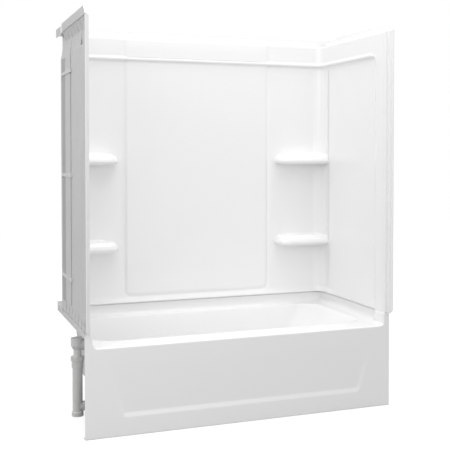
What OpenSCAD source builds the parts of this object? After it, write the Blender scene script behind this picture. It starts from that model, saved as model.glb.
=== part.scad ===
// Alcove bath and shower kit: a bath with its own apron, a back wall with corner shelves,
// two end walls, and the waste and overflow that hang at the bath's drain end.
// Lengths are in millimetres. X runs along the bath with the drain at -X, Y runs from the
// open front to the back wall, and Z is up from the floor. The origin is on the floor under
// the middle of the kit. A distance called an inset is measured inwards from the kit's side
// or back nailing face.

/* [Kit] */
// Width over the side nailing faces
kit_w = 1524; // [1450:1:1700]
// Depth from the apron's face to the back nailing face
kit_d = 762; // [750:1:820]
// Height of the nailing flanges' top edge
kit_h = 1905; // [1885:1:2000]
// How far the end walls' front lips stand ahead of the apron
lip_reach = 37; // [26:1:50]

/* [Bath] */
// Height of the bath's rim
rim_z = 403; // [390:1:430]
// Thickness of the bath's moulded skin
bath_skin = 6; // [4:0.5:8]
// Width of the rim at the front
deck_front = 135; // [110:1:150]
// Inset of the basin's two ends at the rim
basin_end = 74; // [70:1:100]
// Inset of the basin's back edge at the rim
basin_back = 50; // [50:1:70]
// Corner radius of the basin at the rim, in plan
basin_corner_r = 100; // [80:1:110]
// Height of the basin's floor
basin_floor_z = 110; // [108:1:125]
// Radius between the basin's floor and its walls
basin_floor_r = 70; // [50:1:80]
// How far the drain end leans in between rim and floor
drain_end_run = 22; // [10:1:40]
// How far the backrest leans in between rim and floor
backrest_run = 200; // [120:1:260]
// How far the basin's long sides lean in between rim and floor
long_side_run = 25; // [10:1:40]
// Radius of the rim's front edge
rim_edge_r = 10; // [6:1:14]
// Height of the ledge that carries the wall panels
ledge_z = 465; // [450:1:490]
// Inset of the ledge's inner edge
ledge_in = 27; // [26:0.5:32]
// Inset of the foot of the riser between rim and ledge
riser_foot = 44; // [40:1:50]
// Corner radius of the ledge's inner edge
ledge_corner_r = 60; // [40:1:80]
// Height of the bath's nailing flange above the ledge
bath_flange_h = 28; // [15:1:40]
// Thickness of every nailing flange
flange_t = 4; // [3:0.5:5]
// Width of the apron's foot, turned in at the floor
apron_foot = 28; // [15:1:60]

/* [Apron panel] */
// Height of the panel's lower line
panel_z = 84; // [60:1:110]
// Height of the bevel along the panel's foot
panel_bevel = 21; // [12:1:30]
// Depth of the panel at the top of the bevel
panel_depth = 12; // [6:1:14]
// Height at which the panel runs out into the apron
panel_top_z = 320; // [260:1:370]
// Distance from the panel's foot to the apron's end
panel_foot_in = 170; // [140:1:220]
// How much wider the panel is at its top, each side
panel_spread = 70; // [0:1:100]

/* [Wall panels] */
// Thickness of the walls' moulded skin
wall_skin = 4; // [3:0.5:4]
// Inset of the walls' frame face
face_in = 25; // [24:0.5:26]
// How far the walls' field lies behind the frame face
field_recess = 9; // [6:0.5:9]
// Radius of the back wall's inside corners
corner_r = 60; // [45:1:70]
// Inset of the joint between back and end walls
joint_in = 109; // [109:1:125]
// Height of the walls' top edge, under the flange
wall_top_z = 1867; // [1850:1:1870]
// Height of the underside of the bead
bead_z = 1752; // [1735:1:1765]
// Height of the bead
bead_h = 14; // [10:1:18]
// How far the bead stands proud of the frame face
bead_out = 4; // [2:0.5:5]
// Height of the flat border along the walls' foot
border_h = 9; // [8:1:14]
// Height of the slope from the border to the field
border_slope = 18; // [12:1:26]
// Distance from the apron's face to the front of the end walls' field
field_front = 110; // [90:1:150]
// Width of the raised centre panel
centre_w = 810; // [700:1:840]
// Height of the centre panel's foot
centre_z = 508; // [500:1:560]
// How far the centre panel is raised
centre_out = 4; // [2:0.5:5]
// Length of the end walls' top flange behind the apron's face
top_flange_len = 589; // [450:1:600]
// Spacing of the gussets behind the end walls
gusset_pitch = 85; // [70:1:110]
// Thickness of gussets and ribs
rib_t = 4; // [3:0.5:6]
// Spacing of the ribs behind the back wall
rib_pitch = 406; // [380:1:420]

/* [Shelves] */
// Reach of a shelf along the back wall
shelf_w = 295; // [200:1:300]
// Radius of a shelf's free front corner
shelf_corner_r = 60; // [50:1:80]
// Height of the lower shelf's top
shelf_low_z = 793; // [780:1:850]
// Rise from the lower shelf to the upper one
shelf_rise = 457; // [420:1:480]
// Height of a shelf's front lip
shelf_lip = 38; // [25:1:50]

/* [Corner joint] */
// How far the back wall's tongue reaches behind the end wall
tongue_len = 258; // [200:1:280]
// Height of the lowest joining strap
strap_low_z = 655; // [620:1:720]
// Spacing of the joining straps
strap_pitch = 500; // [400:1:520]
// Height of a joining strap
strap_h = 16; // [12:1:24]

/* [Waste and overflow] */
// Distance from the kit's side face to the riser's axis
riser_in = 35; // [34:0.5:36]
// Depth of the waste's centre line behind the apron's face
waste_in = 381; // [360:1:400]
// Distance from the kit's side face to the drain's axis
drain_in = 232; // [225:1:260]
// Height of the waste arm's axis
arm_z = 45; // [42:1:48]
// Outside radius of the riser pipe
riser_r = 24.15; // [23.5:0.05:24.5]
// Wall of the riser pipe
riser_wall = 3.6; // [2.5:0.1:4]
// Height of the riser pipe's top
riser_top_z = 250; // [240:1:260]
// Height of the riser's foot hub
hub_h = 25; // [20:1:30]
// Outside radius of the riser's foot hub
hub_r = 28; // [27.5:0.1:29]
// Outside radius of the slip tubes
tube_r = 19.05; // [18.5:0.05:19.5]
// Wall of the slip tubes
tube_wall = 2.4; // [1.8:0.1:3]
// Height of the overflow's centre
overflow_z = 348; // [340:1:352]
// Outside radius of the overflow head
head_r = 31.5; // [30:0.5:32]
// Radius of the hole for the overflow
overflow_hole_r = 28; // [26:0.5:29]
// Radius of the drain's hole in the basin's floor
drain_hole_r = 24; // [23.5:0.5:26]
// Outside radius of the drain body's tube
drain_tube_r = 22.5; // [22:0.1:23]
// Outside radius of the drain's flange
drain_flange_r = 36.5; // [34:0.5:40]
// Thickness of the rubber gaskets
gasket_t = 3; // [2:0.5:3.5]

/* [Stopper] */
// How far the stopper lifts
stopper_lift = 9; // [6:0.5:10]
// Radius of the stopper's post
post_r = 4; // [3.5:0.1:4.5]
// Outside radius of the sliding sleeve
sleeve_r = 7; // [6.5:0.1:7.5]
// Radius of the stopper's cap
cap_r = 29; // [28:0.5:31]
// Radius of the stopper's knob
knob_r = 9; // [7:0.5:12]
// Height of the stopper's knob over its cap
knob_h = 16; // [10:1:20]

/* [Supports] */
// Thickness of the board under the basin
board_t = 12; // [9:1:18]
// Side of a support foot
foot_side = 90; // [70:1:110]

/* [Fits] */
// Gap left between two fixed pieces that lie side by side
side_gap = 0.3; // [0.2:0.05:0.5]
// Radial clearance of a pushed-in or screwed fit
push_gap = 0.2; // [0.1:0.05:0.3]
// Radial clearance of a sliding or turning fit
run_gap = 0.06; // [0.03:0.01:0.1]
// Clearance left between the stopper's seal and its seat
seal_gap = 0.4; // [0.3:0.05:0.6]

/* [Hidden] */
$fn = 64;
eps = 1;
white = "#f3f3f1";
pipe_white = "#ecebe6";

// Kit frame
x_side = kit_w / 2;
y_back = (kit_d + lip_reach) / 2;
y_apron = y_back - kit_d;
y_lip = y_apron - lip_reach;

// Basin
rim_x = x_side - basin_end;
rim_y0 = y_apron + deck_front;
rim_y1 = y_back - basin_back;
floor_x0 = -rim_x + drain_end_run + basin_floor_r;
floor_x1 = rim_x - backrest_run - basin_floor_r;
floor_y0 = rim_y0 + long_side_run + basin_floor_r;
floor_y1 = rim_y1 - long_side_run - basin_floor_r;
floor_under_z = basin_floor_z - bath_skin;

// Walls
field_in = face_in - field_recess;
y_joint = y_back - joint_in;
foot_in = flange_t + 0.5;
border_top_z = ledge_z + border_h + border_slope;
y_field = y_apron + field_front;
turn_in = field_in + corner_r;
tongue_in = field_in - wall_skin - side_gap;
tongue_t = wall_skin - side_gap;
step_in = face_in - 12;
step_back = 22;

// Lean of the basin's drain end, from its rim to the ball of the floor's corner
end_dx = drain_end_run + basin_floor_r;
end_dz = rim_z - basin_floor_z - basin_floor_r;
end_lean = atan2(end_dx, end_dz) - asin(basin_floor_r / norm([end_dx, end_dz]));

// Waste
x_riser = -x_side + riser_in;
x_drain = -x_side + drain_in;
y_waste = y_apron + waste_in;
x_overflow = -rim_x + (rim_z - overflow_z) * tan(end_lean);
shoe_flange_t = 5;
shoe_top_z = floor_under_z - gasket_t;
shoe_body_r = 28;
socket_r = tube_r + push_gap;
socket_wall = 4;
branch_len = 50;
nut_wall = 6;
nut_h = 20;
collar_h = 27;
collar_top_z = riser_top_z + 12;
collar_thread_r = 26;
elbow_cup_z = overflow_z - 27;
elbow_top_z = overflow_z + 28;
elbow_flange_r = 37;
elbow_flange_t = 5;
screw_r = 2.4;
screw_pitch = 38;
plate_r = 40;
plate_t = 7;

// Stopper
seat_top_z = basin_floor_z + 4;
bar_z = basin_floor_z - 26;
bar_t = 5;
drain_wall = 2.5;
cap_z = seat_top_z + 1.3;
cap_t = 4;
post_top_z = basin_floor_z + 6;

// Children drawn as an outline of Y and Z, carried along X
module along_x(x0, x1) {
    translate([x0, 0, 0]) rotate([90, 0, 90]) linear_extrude(x1 - x0) children();
}

// Children drawn as an outline of X and Z, carried along Y
module along_y(y0, y1) {
    translate([0, y1, 0]) rotate([90, 0, 0]) linear_extrude(y1 - y0) children();
}

module tube(r, wall, h) {
    difference() {
        cylinder(r = r, h = h);
        translate([0, 0, -eps]) cylinder(r = r - wall, h = h + 2 * eps);
    }
}

// The basin as a solid form, grown outwards for the outside of its skin
module basin_form(grow, top_z) {
    hull() {
        for (sx = [-1, 1], y = [rim_y0 + basin_corner_r, rim_y1 - basin_corner_r]) {
            translate([sx * (rim_x - basin_corner_r), y, top_z])
                cylinder(r = basin_corner_r + grow, h = eps, $fn = 48);
        }
        for (x = [floor_x0, floor_x1], y = [floor_y0, floor_y1]) {
            translate([x, y, basin_floor_z + basin_floor_r])
                sphere(r = (basin_floor_r + grow) / cos(180 / 32), $fn = 32);
        }
    }
}

// The space over the rim between the risers, grown outwards for the outside of the skin
module tray_form(grow, y_open) {
    top_h = grow > 0 ? grow : eps;
    hull() {
        for (sx = [-1, 1]) {
            translate([sx * (x_side - riser_foot - ledge_corner_r),
                       y_back - riser_foot - ledge_corner_r, rim_z - grow])
                cylinder(r = ledge_corner_r + grow, h = eps, $fn = 48);
            translate([sx * (x_side - ledge_in - ledge_corner_r),
                       y_back - ledge_in - ledge_corner_r, ledge_z - grow])
                cylinder(r = ledge_corner_r + grow, h = top_h, $fn = 48);
            translate([sx * (x_side - riser_foot + grow - eps) - eps, y_open, rim_z - grow])
                cube([2 * eps, eps, eps]);
            translate([sx * (x_side - ledge_in + grow - eps) - eps, y_open, ledge_z - grow])
                cube([2 * eps, eps, top_h]);
        }
    }
}

// Section of the apron's panel, as far back as depth behind its face
module panel_section(behind) {
    polygon([[y_apron - eps, panel_z - 2 * behind], [y_apron, panel_z - 2 * behind],
             [y_apron + panel_depth + behind, panel_z + panel_bevel - behind],
             [y_apron + behind, panel_top_z], [y_apron - eps, panel_top_z]]);
}

module panel_outline(grow) {
    foot = x_side - panel_foot_in + grow;
    top = foot + panel_spread;
    polygon([[-foot, panel_z - 2 * grow], [foot, panel_z - 2 * grow], [top, panel_top_z],
             [-top, panel_top_z]]);
}

module apron() {
    translate([-x_side, y_apron, 0]) cube([kit_w, bath_skin, ledge_z]);
    translate([-x_side, y_apron, 0]) cube([kit_w, apron_foot, bath_skin]);
    intersection() {
        along_x(-x_side, x_side) panel_section(bath_skin);
        along_y(y_apron, y_apron + 60) panel_outline(bath_skin);
    }
}

module apron_panel_cut() {
    intersection() {
        along_x(-x_side, x_side) panel_section(0);
        along_y(y_apron - eps, y_apron + 60) panel_outline(0);
    }
}

// What rounds the rim's front edge off
module rim_edge_cut() {
    x1 = x_side - riser_foot;
    difference() {
        translate([-x1, y_apron - eps, rim_z - rim_edge_r])
            cube([2 * x1, rim_edge_r + eps, rim_edge_r + eps]);
        translate([-x_side, y_apron + rim_edge_r, rim_z - rim_edge_r]) rotate([0, 90, 0])
            cylinder(r = rim_edge_r, h = kit_w);
    }
}

module bath_flange() {
    h = flange_t + bath_flange_h;
    z = ledge_z + bath_flange_h - h;
    for (sx = [0, 1]) {
        translate([-x_side + sx * (kit_w - flange_t), y_apron, z])
            cube([flange_t, kit_d, h]);
    }
    translate([-x_side, y_back - flange_t, z]) cube([kit_w, flange_t, h]);
}

// Frame at the overflow's hole: the origin on the basin's face, Z into the basin
module at_overflow() {
    translate([x_overflow, y_waste, overflow_z]) rotate([0, 90 - end_lean, 0]) children();
}

// Holes for the drain and the overflow
module waste_holes() {
    translate([x_drain, y_waste, 0]) cylinder(r = drain_hole_r, h = basin_floor_z + 20);
    at_overflow() translate([0, 0, -20]) cylinder(r = overflow_hole_r, h = 40);
}

// The whole bath moulding, which the next four pieces share out
module bath_moulding() {
    difference() {
        union() {
            tray_form(bath_skin, y_apron);
            translate([-x_side, y_apron, ledge_z - bath_skin])
                cube([kit_w, kit_d, bath_skin]);
            bath_flange();
            apron();
            basin_form(bath_skin, rim_z - bath_skin / 2);
        }
        tray_form(0, y_apron - 60);
        basin_form(0, rim_z);
        apron_panel_cut();
        rim_edge_cut();
        waste_holes();
    }
}

// The apron's share: its wall up to the ledge, with all that stands out behind it below the rim
module apron_share() {
    behind = apron_foot + 2 * bath_skin;
    under_rim = rim_z - 2 * bath_skin;
    along_x(-x_side - eps, x_side + eps)
        polygon([[y_apron - eps, -eps], [y_apron + behind, -eps], [y_apron + behind, under_rim],
                 [y_apron + bath_skin, under_rim], [y_apron + bath_skin, ledge_z],
                 [y_apron - eps, ledge_z]]);
}

// Height where the rim starts, and where the basin's two ends meet
deck_z = rim_z - bath_skin;
x_meet = -rim_x / 8;

module bath_rim() {
    color(white) difference() {
        intersection() {
            bath_moulding();
            translate([-kit_w, -kit_d, deck_z]) cube([2 * kit_w, 2 * kit_d, kit_h]);
        }
        apron_share();
    }
}

// The basin's skin under the rim, from one place along the bath to another
module basin_share(x0, x1) {
    color(white) difference() {
        basin_form(bath_skin, rim_z - bath_skin / 2);
        basin_form(0, rim_z);
        waste_holes();
        translate([-kit_w, -kit_d, deck_z]) cube([2 * kit_w, 2 * kit_d, kit_h]);
        translate([-kit_w, -kit_d, -eps]) cube([kit_w + x0, 2 * kit_d, kit_h]);
        translate([x1, -kit_d, -eps]) cube([kit_w, 2 * kit_d, kit_h]);
    }
}

module basin_drain_end() basin_share(-x_side, x_meet);

module basin_backrest_end() basin_share(x_meet, x_side);

module bath_apron() {
    color(white) intersection() {
        bath_moulding();
        apron_share();
    }
}

board_x0 = x_drain + 92;
board_x1 = floor_x1;
board_y0 = floor_y0;
board_y1 = floor_y1;

module base_board() {
    color("#c9a877") translate([board_x0, board_y0, floor_under_z - board_t])
        cube([board_x1 - board_x0, board_y1 - board_y0, board_t]);
}

module support_feet() {
    color("#d8d8d4") for (i = [0:2], j = [0:1]) {
        x = board_x0 + 10 + i * (board_x1 - board_x0 - 20 - foot_side) / 2;
        y = board_y0 + 10 + j * (board_y1 - board_y0 - 20 - foot_side);
        translate([x, y, 0]) cube([foot_side, foot_side, floor_under_z - board_t]);
    }
}

// Section of a wall panel over its field, as inset and height
function field_section(top_in) = [
    [face_in, ledge_z], [face_in, ledge_z + border_h], [field_in, border_top_z],
    [field_in, bead_z], [face_in, bead_z], [face_in + bead_out, bead_z + 0.3 * bead_h],
    [face_in + bead_out, bead_z + 0.6 * bead_h], [face_in, bead_z + bead_h],
    [face_in, wall_top_z], [top_in, wall_top_z], [top_in, wall_top_z - wall_skin],
    [face_in - wall_skin, wall_top_z - wall_skin], [face_in - wall_skin, bead_z + wall_skin],
    [field_in - wall_skin, bead_z + wall_skin], [field_in - wall_skin, border_top_z - 2],
    [face_in - wall_skin, ledge_z + border_h - 2], [face_in - wall_skin, ledge_z + wall_skin],
    [foot_in, ledge_z + wall_skin], [foot_in, ledge_z]];

// Section of an end wall ahead of its field
function frame_section() = [
    [face_in, ledge_z], [face_in, wall_top_z], [0, wall_top_z], [0, wall_top_z - wall_skin],
    [face_in - wall_skin, wall_top_z - wall_skin], [face_in - wall_skin, ledge_z + wall_skin],
    [foot_in, ledge_z + wall_skin], [foot_in, ledge_z]];

function from_left(points) = [for (p = points) [p[0] - x_side, p[1]]];
function from_back(points) = [for (p = points) [y_back - p[0], p[1]]];
function round_turn(points) = [for (p = points) [turn_in - p[0], p[1]]];

// Plan of a shelf, from the corner of the two fields. It starts behind the fields by open.
module shelf_plan(less, open) {
    depth = joint_in - field_in - side_gap;
    corner = [shelf_w - shelf_corner_r, depth - shelf_corner_r];
    difference() {
        translate([-open, -open]) square([shelf_w - less + open, depth - less + open]);
        difference() {
            translate(corner) square(shelf_corner_r + eps);
            translate(corner) circle(r = shelf_corner_r - less, $fn = 48);
        }
    }
}

// The four shelves, or with less the hollows behind them
module shelves(less) {
    open = less > 0 ? 40 : 2;
    for (sx = [0, 1], i = [0:1]) {
        mirror([sx, 0, 0])
            translate([-x_side + field_in, y_back - field_in,
                       shelf_low_z + i * shelf_rise - shelf_lip + less])
            mirror([0, 1, 0]) linear_extrude(shelf_lip - 2 * less) shelf_plan(less, open);
    }
}

module wall_turns() {
    for (sx = [0, 1]) {
        mirror([sx, 0, 0]) {
            translate([x_side - turn_in, y_back - turn_in, 0]) rotate_extrude(angle = 90)
                polygon(round_turn(field_section(foot_in)));
            mirror([1, 0, 0]) along_y(y_joint + side_gap, y_back - turn_in)
                polygon(from_left(field_section(foot_in)));
        }
    }
}

// Tongues that reach behind the end walls
module tongues() {
    z0 = border_top_z + 38;
    z1 = bead_z - 20;
    for (sx = [0, 1]) {
        mirror([sx, 0, 0]) {
            translate([-x_side + tongue_in - tongue_t, y_joint - tongue_len, z0])
                cube([tongue_t, tongue_len + wall_skin + side_gap, z1 - z0]);
            translate([-x_side + tongue_in - tongue_t, y_joint + side_gap, z0])
                cube([field_in - tongue_in + tongue_t, wall_skin, z1 - z0]);
        }
    }
}

module centre_panel(less) {
    x1 = centre_w / 2 - less;
    back = less > 0 ? 20 : 2;
    translate([-x1, y_back - field_in - centre_out + less, centre_z + less])
        cube([2 * x1, centre_out + back, bead_z - centre_z - 2 * less + (less > 0 ? 0 : 2)]);
    if (less == 0) {
        translate([-x1, y_back - face_in - 2, bead_z + bead_h - 2])
            cube([2 * x1, 4, wall_top_z - bead_z - bead_h + 2]);
    }
}

module back_wall() {
    color(white) {
        difference() {
            union() {
                along_x(-x_side + turn_in, x_side - turn_in)
                    polygon(from_back(field_section(0)));
                wall_turns();
                shelves(0);
                centre_panel(0);
            }
            shelves(wall_skin);
            centre_panel(wall_skin);
        }
        tongues();
        translate([-x_side, y_back - flange_t, wall_top_z - wall_skin])
            cube([kit_w, flange_t, kit_h - wall_top_z + wall_skin]);
        for (i = [-1.5:1:1.5]) {
            reach = field_in - wall_skin + 0.5
                + (abs(i) * rib_pitch < centre_w / 2 ? centre_out : 0);
            translate([i * rib_pitch - rib_t / 2, y_back - reach, centre_z + 20])
                cube([rib_t, reach, bead_z - centre_z - 40]);
        }
    }
}

// Plan of the end wall's stepped front edge, as inset and distance ahead of the apron
module nose_plan() {
    polygon([[face_in - x_side, y_apron + wall_skin], [face_in - x_side, y_apron],
             [step_in - x_side, y_apron], [step_in - x_side, y_apron - step_back],
             [3 - x_side, y_apron - step_back], [3 - x_side, y_lip], [-x_side, y_lip],
             [-x_side, y_apron - step_back + wall_skin],
             [step_in - wall_skin - x_side, y_apron - step_back + wall_skin],
             [step_in - wall_skin - x_side, y_apron + wall_skin]]);
}

module nose_cap() {
    polygon([[face_in - x_side, y_apron + wall_skin], [face_in - x_side, y_apron],
             [step_in - x_side, y_apron], [step_in - x_side, y_apron - step_back],
             [3 - x_side, y_apron - step_back], [3 - x_side, y_lip], [-x_side, y_lip],
             [-x_side, y_apron + wall_skin]]);
}

module gussets() {
    out = face_in - wall_skin;
    top = wall_top_z - wall_skin;
    foot = ledge_z + wall_skin;
    count = floor((top_flange_len - 60) / gusset_pitch);
    for (i = [0:count]) {
        y = y_apron + 40 + i * gusset_pitch;
        behind_field = y > y_field;
        along_y(y, y + rib_t) {
            polygon(from_left([[0, top], [out, top], [out, top - 35]]));
            polygon(from_left(behind_field
                ? [[foot_in, foot], [out, foot], [out, ledge_z + border_h],
                   [field_in - wall_skin, border_top_z], [field_in - wall_skin, foot + 40]]
                : [[foot_in, foot], [out, foot], [out, foot + 40]]));
        }
    }
}

module end_wall() {
    color(white) {
        along_y(y_field, y_joint) polygon(from_left(field_section(0)));
        along_y(y_apron, y_field) polygon(from_left(frame_section()));
        translate([-x_side + field_in - wall_skin, y_field - wall_skin, ledge_z + wall_skin])
            cube([field_recess + wall_skin, wall_skin, bead_z - ledge_z]);
        translate([0, 0, ledge_z + 20]) linear_extrude(wall_top_z - ledge_z - 20) nose_plan();
        translate([0, 0, ledge_z]) linear_extrude(20) intersection() {
            nose_plan();
            translate([-x_side, y_apron - step_back]) square([face_in, 100]);
        }
        translate([0, 0, wall_top_z - wall_skin]) linear_extrude(wall_skin) nose_cap();
        along_x(-x_side, -x_side + flange_t)
            polygon([[y_lip, wall_top_z - wall_skin],
                     [y_apron + top_flange_len, wall_top_z - wall_skin],
                     [y_apron + top_flange_len, kit_h], [y_apron, kit_h],
                     [y_lip, wall_top_z]]);
        gussets();
    }
}

module left_end_wall() end_wall();

module right_end_wall() mirror([1, 0, 0]) end_wall();

// A strap lies on the tongue and hooks round its front edge to the end wall
module joint_straps() {
    t = 4;
    in1 = tongue_in - tongue_t - side_gap;
    y1 = y_joint - 20;
    y0 = y_joint - tongue_len - 30;
    color("#e6e6e2") for (i = [0:2]) {
        z = strap_low_z + i * strap_pitch;
        translate([-x_side + in1 - t, y0, z - strap_h / 2]) cube([t, y1 - y0, strap_h]);
        translate([-x_side + in1 - t, y0, z - strap_h / 2])
            cube([field_in - wall_skin - in1 + t, 24, strap_h]);
        translate([-x_side + in1 - t, y1 - 16, z - strap_h]) cube([t, 16, 2 * strap_h]);
    }
}

module left_joint_straps() joint_straps();

module right_joint_straps() mirror([1, 0, 0]) joint_straps();

// Drain body: flange on the basin's floor, tube through it, and the bar that holds the post
module drain_body() {
    color("#c8ccd0") translate([x_drain, y_waste, 0]) {
        difference() {
            union() {
                translate([0, 0, basin_floor_z])
                    cylinder(r = drain_flange_r, h = seat_top_z - basin_floor_z);
                translate([0, 0, bar_z - 4])
                    cylinder(r = drain_tube_r, h = basin_floor_z - bar_z + 4 + eps);
            }
            translate([0, 0, bar_z - 5]) cylinder(r = drain_tube_r - drain_wall, h = 60);
            translate([0, 0, basin_floor_z])
                cylinder(r1 = drain_tube_r - drain_wall,
                         r2 = drain_tube_r - drain_wall + seat_top_z - basin_floor_z + eps,
                         h = seat_top_z - basin_floor_z + eps);
        }
        difference() {
            translate([0, 0, bar_z]) union() {
                translate([-drain_tube_r + 1, -4, 0]) cube([2 * drain_tube_r - 2, 8, bar_t]);
                translate([-4, -drain_tube_r + 1, 0]) cube([8, 2 * drain_tube_r - 2, bar_t]);
                cylinder(r = post_r + 4, h = bar_t);
            }
            translate([0, 0, bar_z - eps]) cylinder(r = post_r, h = bar_t + 2 * eps);
        }
    }
}

module drain_gasket() {
    color("#2b2b2b") translate([x_drain, y_waste, shoe_top_z])
        tube(drain_flange_r, drain_flange_r - drain_tube_r - side_gap, gasket_t);
}

// Shoe: takes the drain body's tube and turns the waste towards the riser
module drain_shoe() {
    out_r = socket_r + socket_wall;
    color(pipe_white) translate([x_drain, y_waste, 0]) difference() {
        union() {
            translate([0, 0, shoe_top_z - shoe_flange_t])
                cylinder(r = drain_flange_r, h = shoe_flange_t);
            translate([0, 0, arm_z - out_r]) cylinder(r = shoe_body_r, h = shoe_top_z - arm_z + out_r);
            translate([-shoe_body_r - 25, 0, arm_z]) rotate([0, 90, 0])
                cylinder(r = out_r, h = shoe_body_r + 25);
        }
        translate([0, 0, bar_z - 6]) cylinder(r = drain_tube_r + push_gap, h = 60);
        translate([0, 0, arm_z - tube_r + 2]) cylinder(r = tube_r, h = 60);
        translate([-shoe_body_r - 25 - eps, 0, arm_z]) rotate([0, 90, 0])
            cylinder(r = socket_r, h = 25 + eps);
        translate([-shoe_body_r - eps, 0, arm_z]) rotate([0, 90, 0])
            cylinder(r = tube_r - tube_wall, h = shoe_body_r + eps);
    }
}

arm_x0 = x_riser + riser_r + 8;
arm_x1 = x_drain - shoe_body_r - side_gap;

module waste_arm() {
    color(pipe_white) translate([arm_x0, y_waste, arm_z]) rotate([0, 90, 0])
        tube(tube_r, tube_wall, arm_x1 - arm_x0);
}

// A slip nut closes over a threaded end of radius thread_r and draws a washer on to it
module slip_nut(thread_r) {
    r = thread_r + push_gap + nut_wall;
    difference() {
        union() {
            cylinder(r = r - 1.5, h = nut_h);
            for (i = [0:11]) rotate([0, 0, 30 * i]) translate([r - 4, -3, 0]) cube([4, 6, nut_h]);
        }
        translate([0, 0, -eps]) cylinder(r = thread_r + push_gap, h = nut_h - 3 + eps);
        cylinder(r = tube_r + side_gap, h = nut_h + eps);
    }
}

branch_x1 = x_riser + branch_len;
branch_r = socket_r + socket_wall;

module arm_slip_nut() {
    color(pipe_white) translate([branch_x1 - nut_h + 3 + 4 + side_gap, y_waste, arm_z])
        rotate([0, 90, 0]) slip_nut(branch_r);
}

module arm_slip_washer() {
    color("#4a4a4a") translate([branch_x1 + side_gap / 2, y_waste, arm_z]) rotate([0, 90, 0])
        tube(branch_r, branch_r - tube_r - push_gap, 4);
}

// Riser: pipe with a branch for the arm and a hub that takes the house's waste pipe
module waste_riser() {
    color(pipe_white) translate([x_riser, y_waste, 0]) difference() {
        union() {
            cylinder(r = riser_r, h = riser_top_z);
            cylinder(r = hub_r, h = hub_h - 6);
            translate([0, 0, hub_h - 6]) cylinder(r1 = hub_r, r2 = riser_r, h = 6);
            translate([0, 0, arm_z]) rotate([0, 90, 0]) cylinder(r = branch_r, h = branch_len);
        }
        translate([0, 0, hub_h - 2]) cylinder(r = riser_r - riser_wall, h = riser_top_z);
        translate([0, 0, -eps]) cylinder(r = riser_r + push_gap, h = hub_h - 5 + eps);
        cylinder(r = riser_r - riser_wall, h = hub_h);
        translate([0, 0, arm_z]) rotate([0, 90, 0])
            cylinder(r = tube_r - tube_wall, h = branch_len + eps);
        translate([riser_r + 6, 0, arm_z]) rotate([0, 90, 0])
            cylinder(r = socket_r, h = branch_len);
    }
}

// Collar glued over the riser's top, with the thread for the overflow's slip nut
module riser_collar() {
    thread_top = collar_top_z + 18;
    color(pipe_white) translate([x_riser, y_waste, 0]) difference() {
        union() {
            translate([0, 0, collar_top_z - collar_h]) cylinder(r = hub_r, h = collar_h);
            translate([0, 0, collar_top_z - eps])
                cylinder(r = collar_thread_r, h = thread_top - collar_top_z + eps);
        }
        translate([0, 0, collar_top_z - collar_h - eps])
            cylinder(r = riser_r + push_gap, h = riser_top_z - collar_top_z + collar_h + eps);
        translate([0, 0, riser_top_z - eps]) cylinder(r = socket_r, h = 60);
    }
}

module overflow_slip_nut() {
    z0 = collar_top_z + 18 + 4 + side_gap - nut_h + 3;
    color(pipe_white) translate([x_riser, y_waste, z0]) slip_nut(collar_thread_r);
}

module overflow_slip_washer() {
    color("#4a4a4a") translate([x_riser, y_waste, collar_top_z + 18 + side_gap / 2])
        tube(collar_thread_r, collar_thread_r - tube_r - push_gap, 4);
}

// Overflow head: a cup over the slip tube, with a mouth that seals behind the basin's wall
module overflow_elbow() {
    back = -bath_skin - gasket_t - 2 * side_gap;
    mouth_r = overflow_hole_r - 2;
    color(pipe_white) difference() {
        union() {
            translate([x_riser, y_waste, overflow_z - 8])
                cylinder(r = head_r, h = elbow_top_z - overflow_z + 8);
            translate([x_riser, y_waste, elbow_cup_z])
                cylinder(r1 = tube_r + 2, r2 = head_r, h = overflow_z - 8 - elbow_cup_z);
            translate([x_riser, y_waste, riser_top_z + 6])
                cylinder(r = tube_r, h = elbow_cup_z - riser_top_z);
            at_overflow() {
                translate([0, 0, back - elbow_flange_t])
                    cylinder(r = elbow_flange_r, h = elbow_flange_t);
                translate([0, 0, back - 30]) cylinder(r = mouth_r + 3, h = 30);
            }
        }
        translate([x_riser, y_waste, riser_top_z]) cylinder(r = tube_r - tube_wall, h = 80);
        translate([x_riser, y_waste, elbow_cup_z + 8])
            cylinder(r = head_r - 7, h = elbow_top_z - elbow_cup_z - 12);
        at_overflow() translate([0, 0, back - 30]) cylinder(r = mouth_r - 2, h = 40);
        at_overflow() translate([0, 0, back - 4]) cylinder(r = mouth_r + 1, h = 10);
    }
}

module overflow_gasket() {
    color("#2b2b2b") at_overflow() translate([0, 0, -bath_skin - gasket_t - side_gap])
        tube(elbow_flange_r, elbow_flange_r - overflow_hole_r, gasket_t);
}

// Bracket in the mouth of the overflow head, which the plate's screws pull on
module overflow_bracket() {
    back = -bath_skin - gasket_t - 2 * side_gap;
    color("#c8ccd0") at_overflow() translate([0, 0, back - 4]) difference() {
        intersection() {
            translate([-6, -40, 0]) cube([12, 80, 3]);
            cylinder(r = overflow_hole_r - 2 + 1 - push_gap, h = 3);
        }
        for (s = [-1, 1]) translate([0, s * screw_pitch / 2, -eps]) cylinder(r = screw_r + 0.1, h = 6);
    }
}

module overflow_plate() {
    color("#c8ccd0") at_overflow() translate([0, 0, side_gap]) difference() {
        union() {
            cylinder(r = plate_r, h = 3);
            translate([0, 0, 3]) cylinder(r1 = plate_r, r2 = plate_r - 8, h = plate_t - 3);
        }
        translate([0, 0, -eps]) cylinder(r = plate_r - 5, h = 3);
        for (s = [-1, 1]) translate([0, s * screw_pitch / 2, -eps]) cylinder(r = screw_r + 0.3, h = 20);
        translate([plate_r - 10, -12, -eps]) cube([20, 24, 3]);
    }
}

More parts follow.
